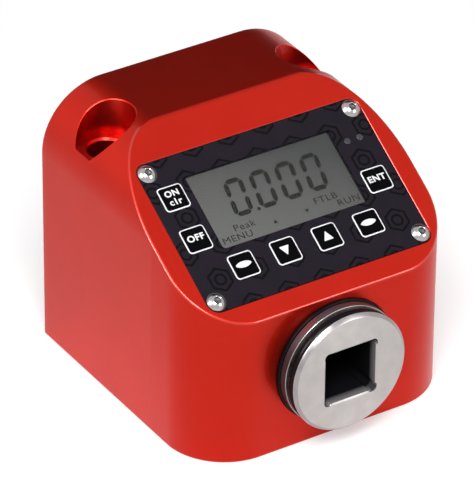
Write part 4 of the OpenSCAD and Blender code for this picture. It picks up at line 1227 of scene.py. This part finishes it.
# Charging jack: a turned barrel with a bevelled mouth, and a round-nosed pin inside it.
def makeJack():
    q = ports
    top, outR, hole, pinR = rearPlate["high"], q["jackD"] / 2, q["jackHole"] / 2, q["jackPin"] / 2
    barrel = [(outR, q["foot"]), (outR, top - 0.3), (outR - 0.3, top), (hole + 0.5, top), (hole, top - 0.5),
              (hole, top - q["depth"])]
    pin = [(pinR, top - 9.5), (pinR, top - 1.9), (pinR * 0.85, top - 1.5), (pinR * 0.4, top - 1.25)]
    settle(lathe("chargeJack", barrel, 72, onBack, blackPlastic, *q["jack"]),
           "body", "black_plastic", "charge_jack")
    settle(lathe("chargePin", pin, 32, onBack, portSteel, *q["jack"]), "body", "port_metal")


# Data port: a plated shell round a square mouth, with a contact tongue that stands free in it.
def makePort():
    q = ports
    top, depth = rearPlate["high"], q["depth"]
    w, h, r = q["portSize"]
    mw, mh, mr = q["portMouth"]
    steps = [(w, h, r, q["foot"]), (w, h, r, top - 0.2), (w - 0.4, h - 0.4, r - 0.1, top),
             (mw + 0.5, mh + 0.5, mr, top), (mw, mh, mr - 0.2, top - 0.25), (mw, mh, mr - 0.2, top - depth)]
    rings = lifted([roundedRect(*step[:3], 6) for step in steps], [step[3] for step in steps])
    port = ringMesh("dataPort", onBack(moved(rings, *q["port"])), portSteel)
    settle(port, "body", "port_metal", "data_port")
    tongue = bevelled("portTongue", q["tongue"], top - depth - 0.3, top - 0.6, 0.25, blackPlastic, onBack,
                      *q["port"], 4)
    settle(tongue, "body", "black_plastic")


makeRearPlate()
makeJack()
makePort()
makePlate(basePlate, onFoot, "baseCover", "base_cover", "baseScrews", "base_cover_screws")
print("plates made")


# Finishes of the CAD pieces that stay

def dressNodes():
    board = grainy("boardGreen", (0.02, 0.10, 0.05), 0.75, 0, 0.35, 0.3, 0.004, coat=0.3)
    chip = grainy("chipBlack", (0.014, 0.014, 0.015), 0.8, 0, 0.5, 0.12, 0.002)
    bronze = grainy("bushBronze", (0.50, 0.32, 0.13), 0.8, 1.0, 0.38, 0.3, 0.003)
    foil = grainy("gaugeFoil", (0.46, 0.24, 0.06), 0.8, 0.2, 0.4, 0.2, 0.001)
    cell = grainy("cellWrap", (0.04, 0.11, 0.26), 0.85, 0, 0.28, 0.5, 0.003, coat=0.5)
    wire = grainy("wireGrey", (0.55, 0.55, 0.53), 0.85, 0, 0.45, 0.3, 0.002)
    wireRed = grainy("wireRed", (0.42, 0.015, 0.015), 0.85, 0, 0.45, 0.3, 0.002)
    diffuser = grainy("diffuserWhite", (0.72, 0.72, 0.70), 0.95, 0, 0.5, 0.3, 0.001)
    finishes = [
        (blackMetal, ["faceplate"]), (rubberMat, ["base_gasket"]), (clearWindow(), ["window_lens"]),
        (displayGrey(), ["lcd_glass"]), (blackPlastic, ["lcd_bezel", "battery_tray"]),
        (diffuser, ["lcd_backlight", "status_lamps"]),
        (board, ["display_board", "keypad_board", "main_board"]),
        (chip, ["display_chips", "main_chips"]), (portSteel, ["snap_domes", "battery_contacts"]),
        (steelScrew, ["board_spacers", "board_screws", "transducer_screws", "main_board_spacers",
                      "main_board_screws", "battery_screws"]),
        (bronze, ["front_bush"]), (foil, ["strain_gauges"]), (wire, ["gauge_leads", "display_ribbon"]),
        (cell, ["battery_cells"]), (wireRed, ["battery_leads"]),
    ]
    for mat, names in finishes:
        for name in names:
            mesh = cadNodes[name].data
            mesh.materials.clear()
            mesh.materials.append(mat)


dressNodes()
print("CAD pieces dressed")


# Stage and lights

studio = {
    "floor": 0.80, "floorHalf": 3.0,      # its half width is in metres, as are the places and sizes below
    "floorSeen": 0.58,     # the floor's share of light where it is seen
    "floorGlow": 0.50,     # and the white that is added to it there
    "world": 0.24,
    # name: place, size, radiance
    "lights": {
        "keyBox": ((-0.70, -1.00, 1.50), (0.80, 0.80), 19.6),
    },
    # bright cards that only reflections see, along the slanted face's edges
    "cards": {
        "frontCard": ((0.55, -1.00, 0.44), (0.45, 0.45), 9.0),
        "sideCard": ((-1.00, 0.00, 0.78), (0.60, 0.55), 16.0),
    },
    "aim": (0, 0, 0.045),
    # dark screen that only reflections see, which keeps the top face dark in the photograph's view
    "screen": ((0.62, 0.78, 0.58), (1.10, 0.85), 0.02),
}


# One for rays that show the background: those of the camera, of reflections and of clear pieces.
def shownRay(tree):
    path = addNode(tree, "ShaderNodeLightPath", {}).outputs
    return calc("MAXIMUM", calc("MAXIMUM", path["Is Camera Ray"], path["Is Glossy Ray"]),
                path["Is Transmission Ray"])


# Turn that faces a place's -z side to the object.
def aimed(place):
    return (Vector(studio["aim"]) - Vector(place)).to_track_quat("-Z", "Y")


# Flat piece of the stage: a rectangle in its own turn, about its place.
def stagePlane(name, w, h, mat, place=(0, 0, 0), facing=Matrix.Identity(3)):
    corners = [facing @ Vector((x, y, 0)) + Vector(place)
               for x, y in ((-w, -h), (w, -h), (w, h), (-w, h))]
    plane = bpy.data.meshes.new(name)
    plane.from_pydata([tuple(corner) for corner in corners], [], [(0, 1, 2, 3)])
    plane.materials.append(mat)
    obj = newObject(name, plane)
    return obj


def makeStage():
    scene = bpy.context.scene
    scene.view_settings.view_transform = "Standard"
    world = bpy.data.worlds.new("studio")
    world.use_nodes = True
    scene.world = world
    tree = world.node_tree
    seen = addNode(tree, "ShaderNodeMix", {"Factor": shownRay(tree), "A": studio["world"], "B": 1.0},
                   data_type="FLOAT").outputs["Result"]
    feedAll(tree.nodes["Background"], {"Strength": seen, "Color": (1, 1, 1)})
    stagePlane("floor", studio["floorHalf"], studio["floorHalf"], floorWhite())

    place, (w, h), shade = studio["screen"]
    black = grainy("screenBlack", (shade,) * 3, 0.9, 0, 0.9, 1.0, 0.01)
    screen = stagePlane("screen", w / 2, h / 2, black, place, aimed(place).to_matrix())
    screen.visible_camera = False
    screen.visible_diffuse = False
    screen.visible_shadow = False


# White floor: plain diffuse for the object's light, a lifted white with a soft shadow where it is seen.
def floorWhite():
    plain, seen = (studio["floor"],) * 3, (studio["floorSeen"],) * 3
    mat, tree, shader = newMaterial("floorWhite", plain, 0, 0.9)
    shown = shownRay(tree)
    feedAll(shader, {
        "Specular IOR Level": 0,
        "Base Color": mixColors(shown, plain, seen),
        "Emission Color": (1, 1, 1),
        "Emission Strength": calc("MULTIPLY", shown, studio["floorGlow"]),
    })
    return mat


# Soft box: its power is its radiance times pi times its area.
def softBox(name, place, size, radiance):
    data = bpy.data.lights.new(name, "AREA")
    data.shape = "RECTANGLE"
    data.size, data.size_y = size
    data.energy = radiance * math.pi * size[0] * size[1]
    obj = newObject(name, data)
    obj.location = place
    obj.rotation_euler = aimed(place).to_euler()
    return obj


makeStage()
for name, (place, size, radiance) in studio["lights"].items():
    softBox(name, place, size, radiance)
for name, (place, size, radiance) in studio["cards"].items():
    softBox(name, place, size, radiance).visible_diffuse = False
print("stage and lights set")
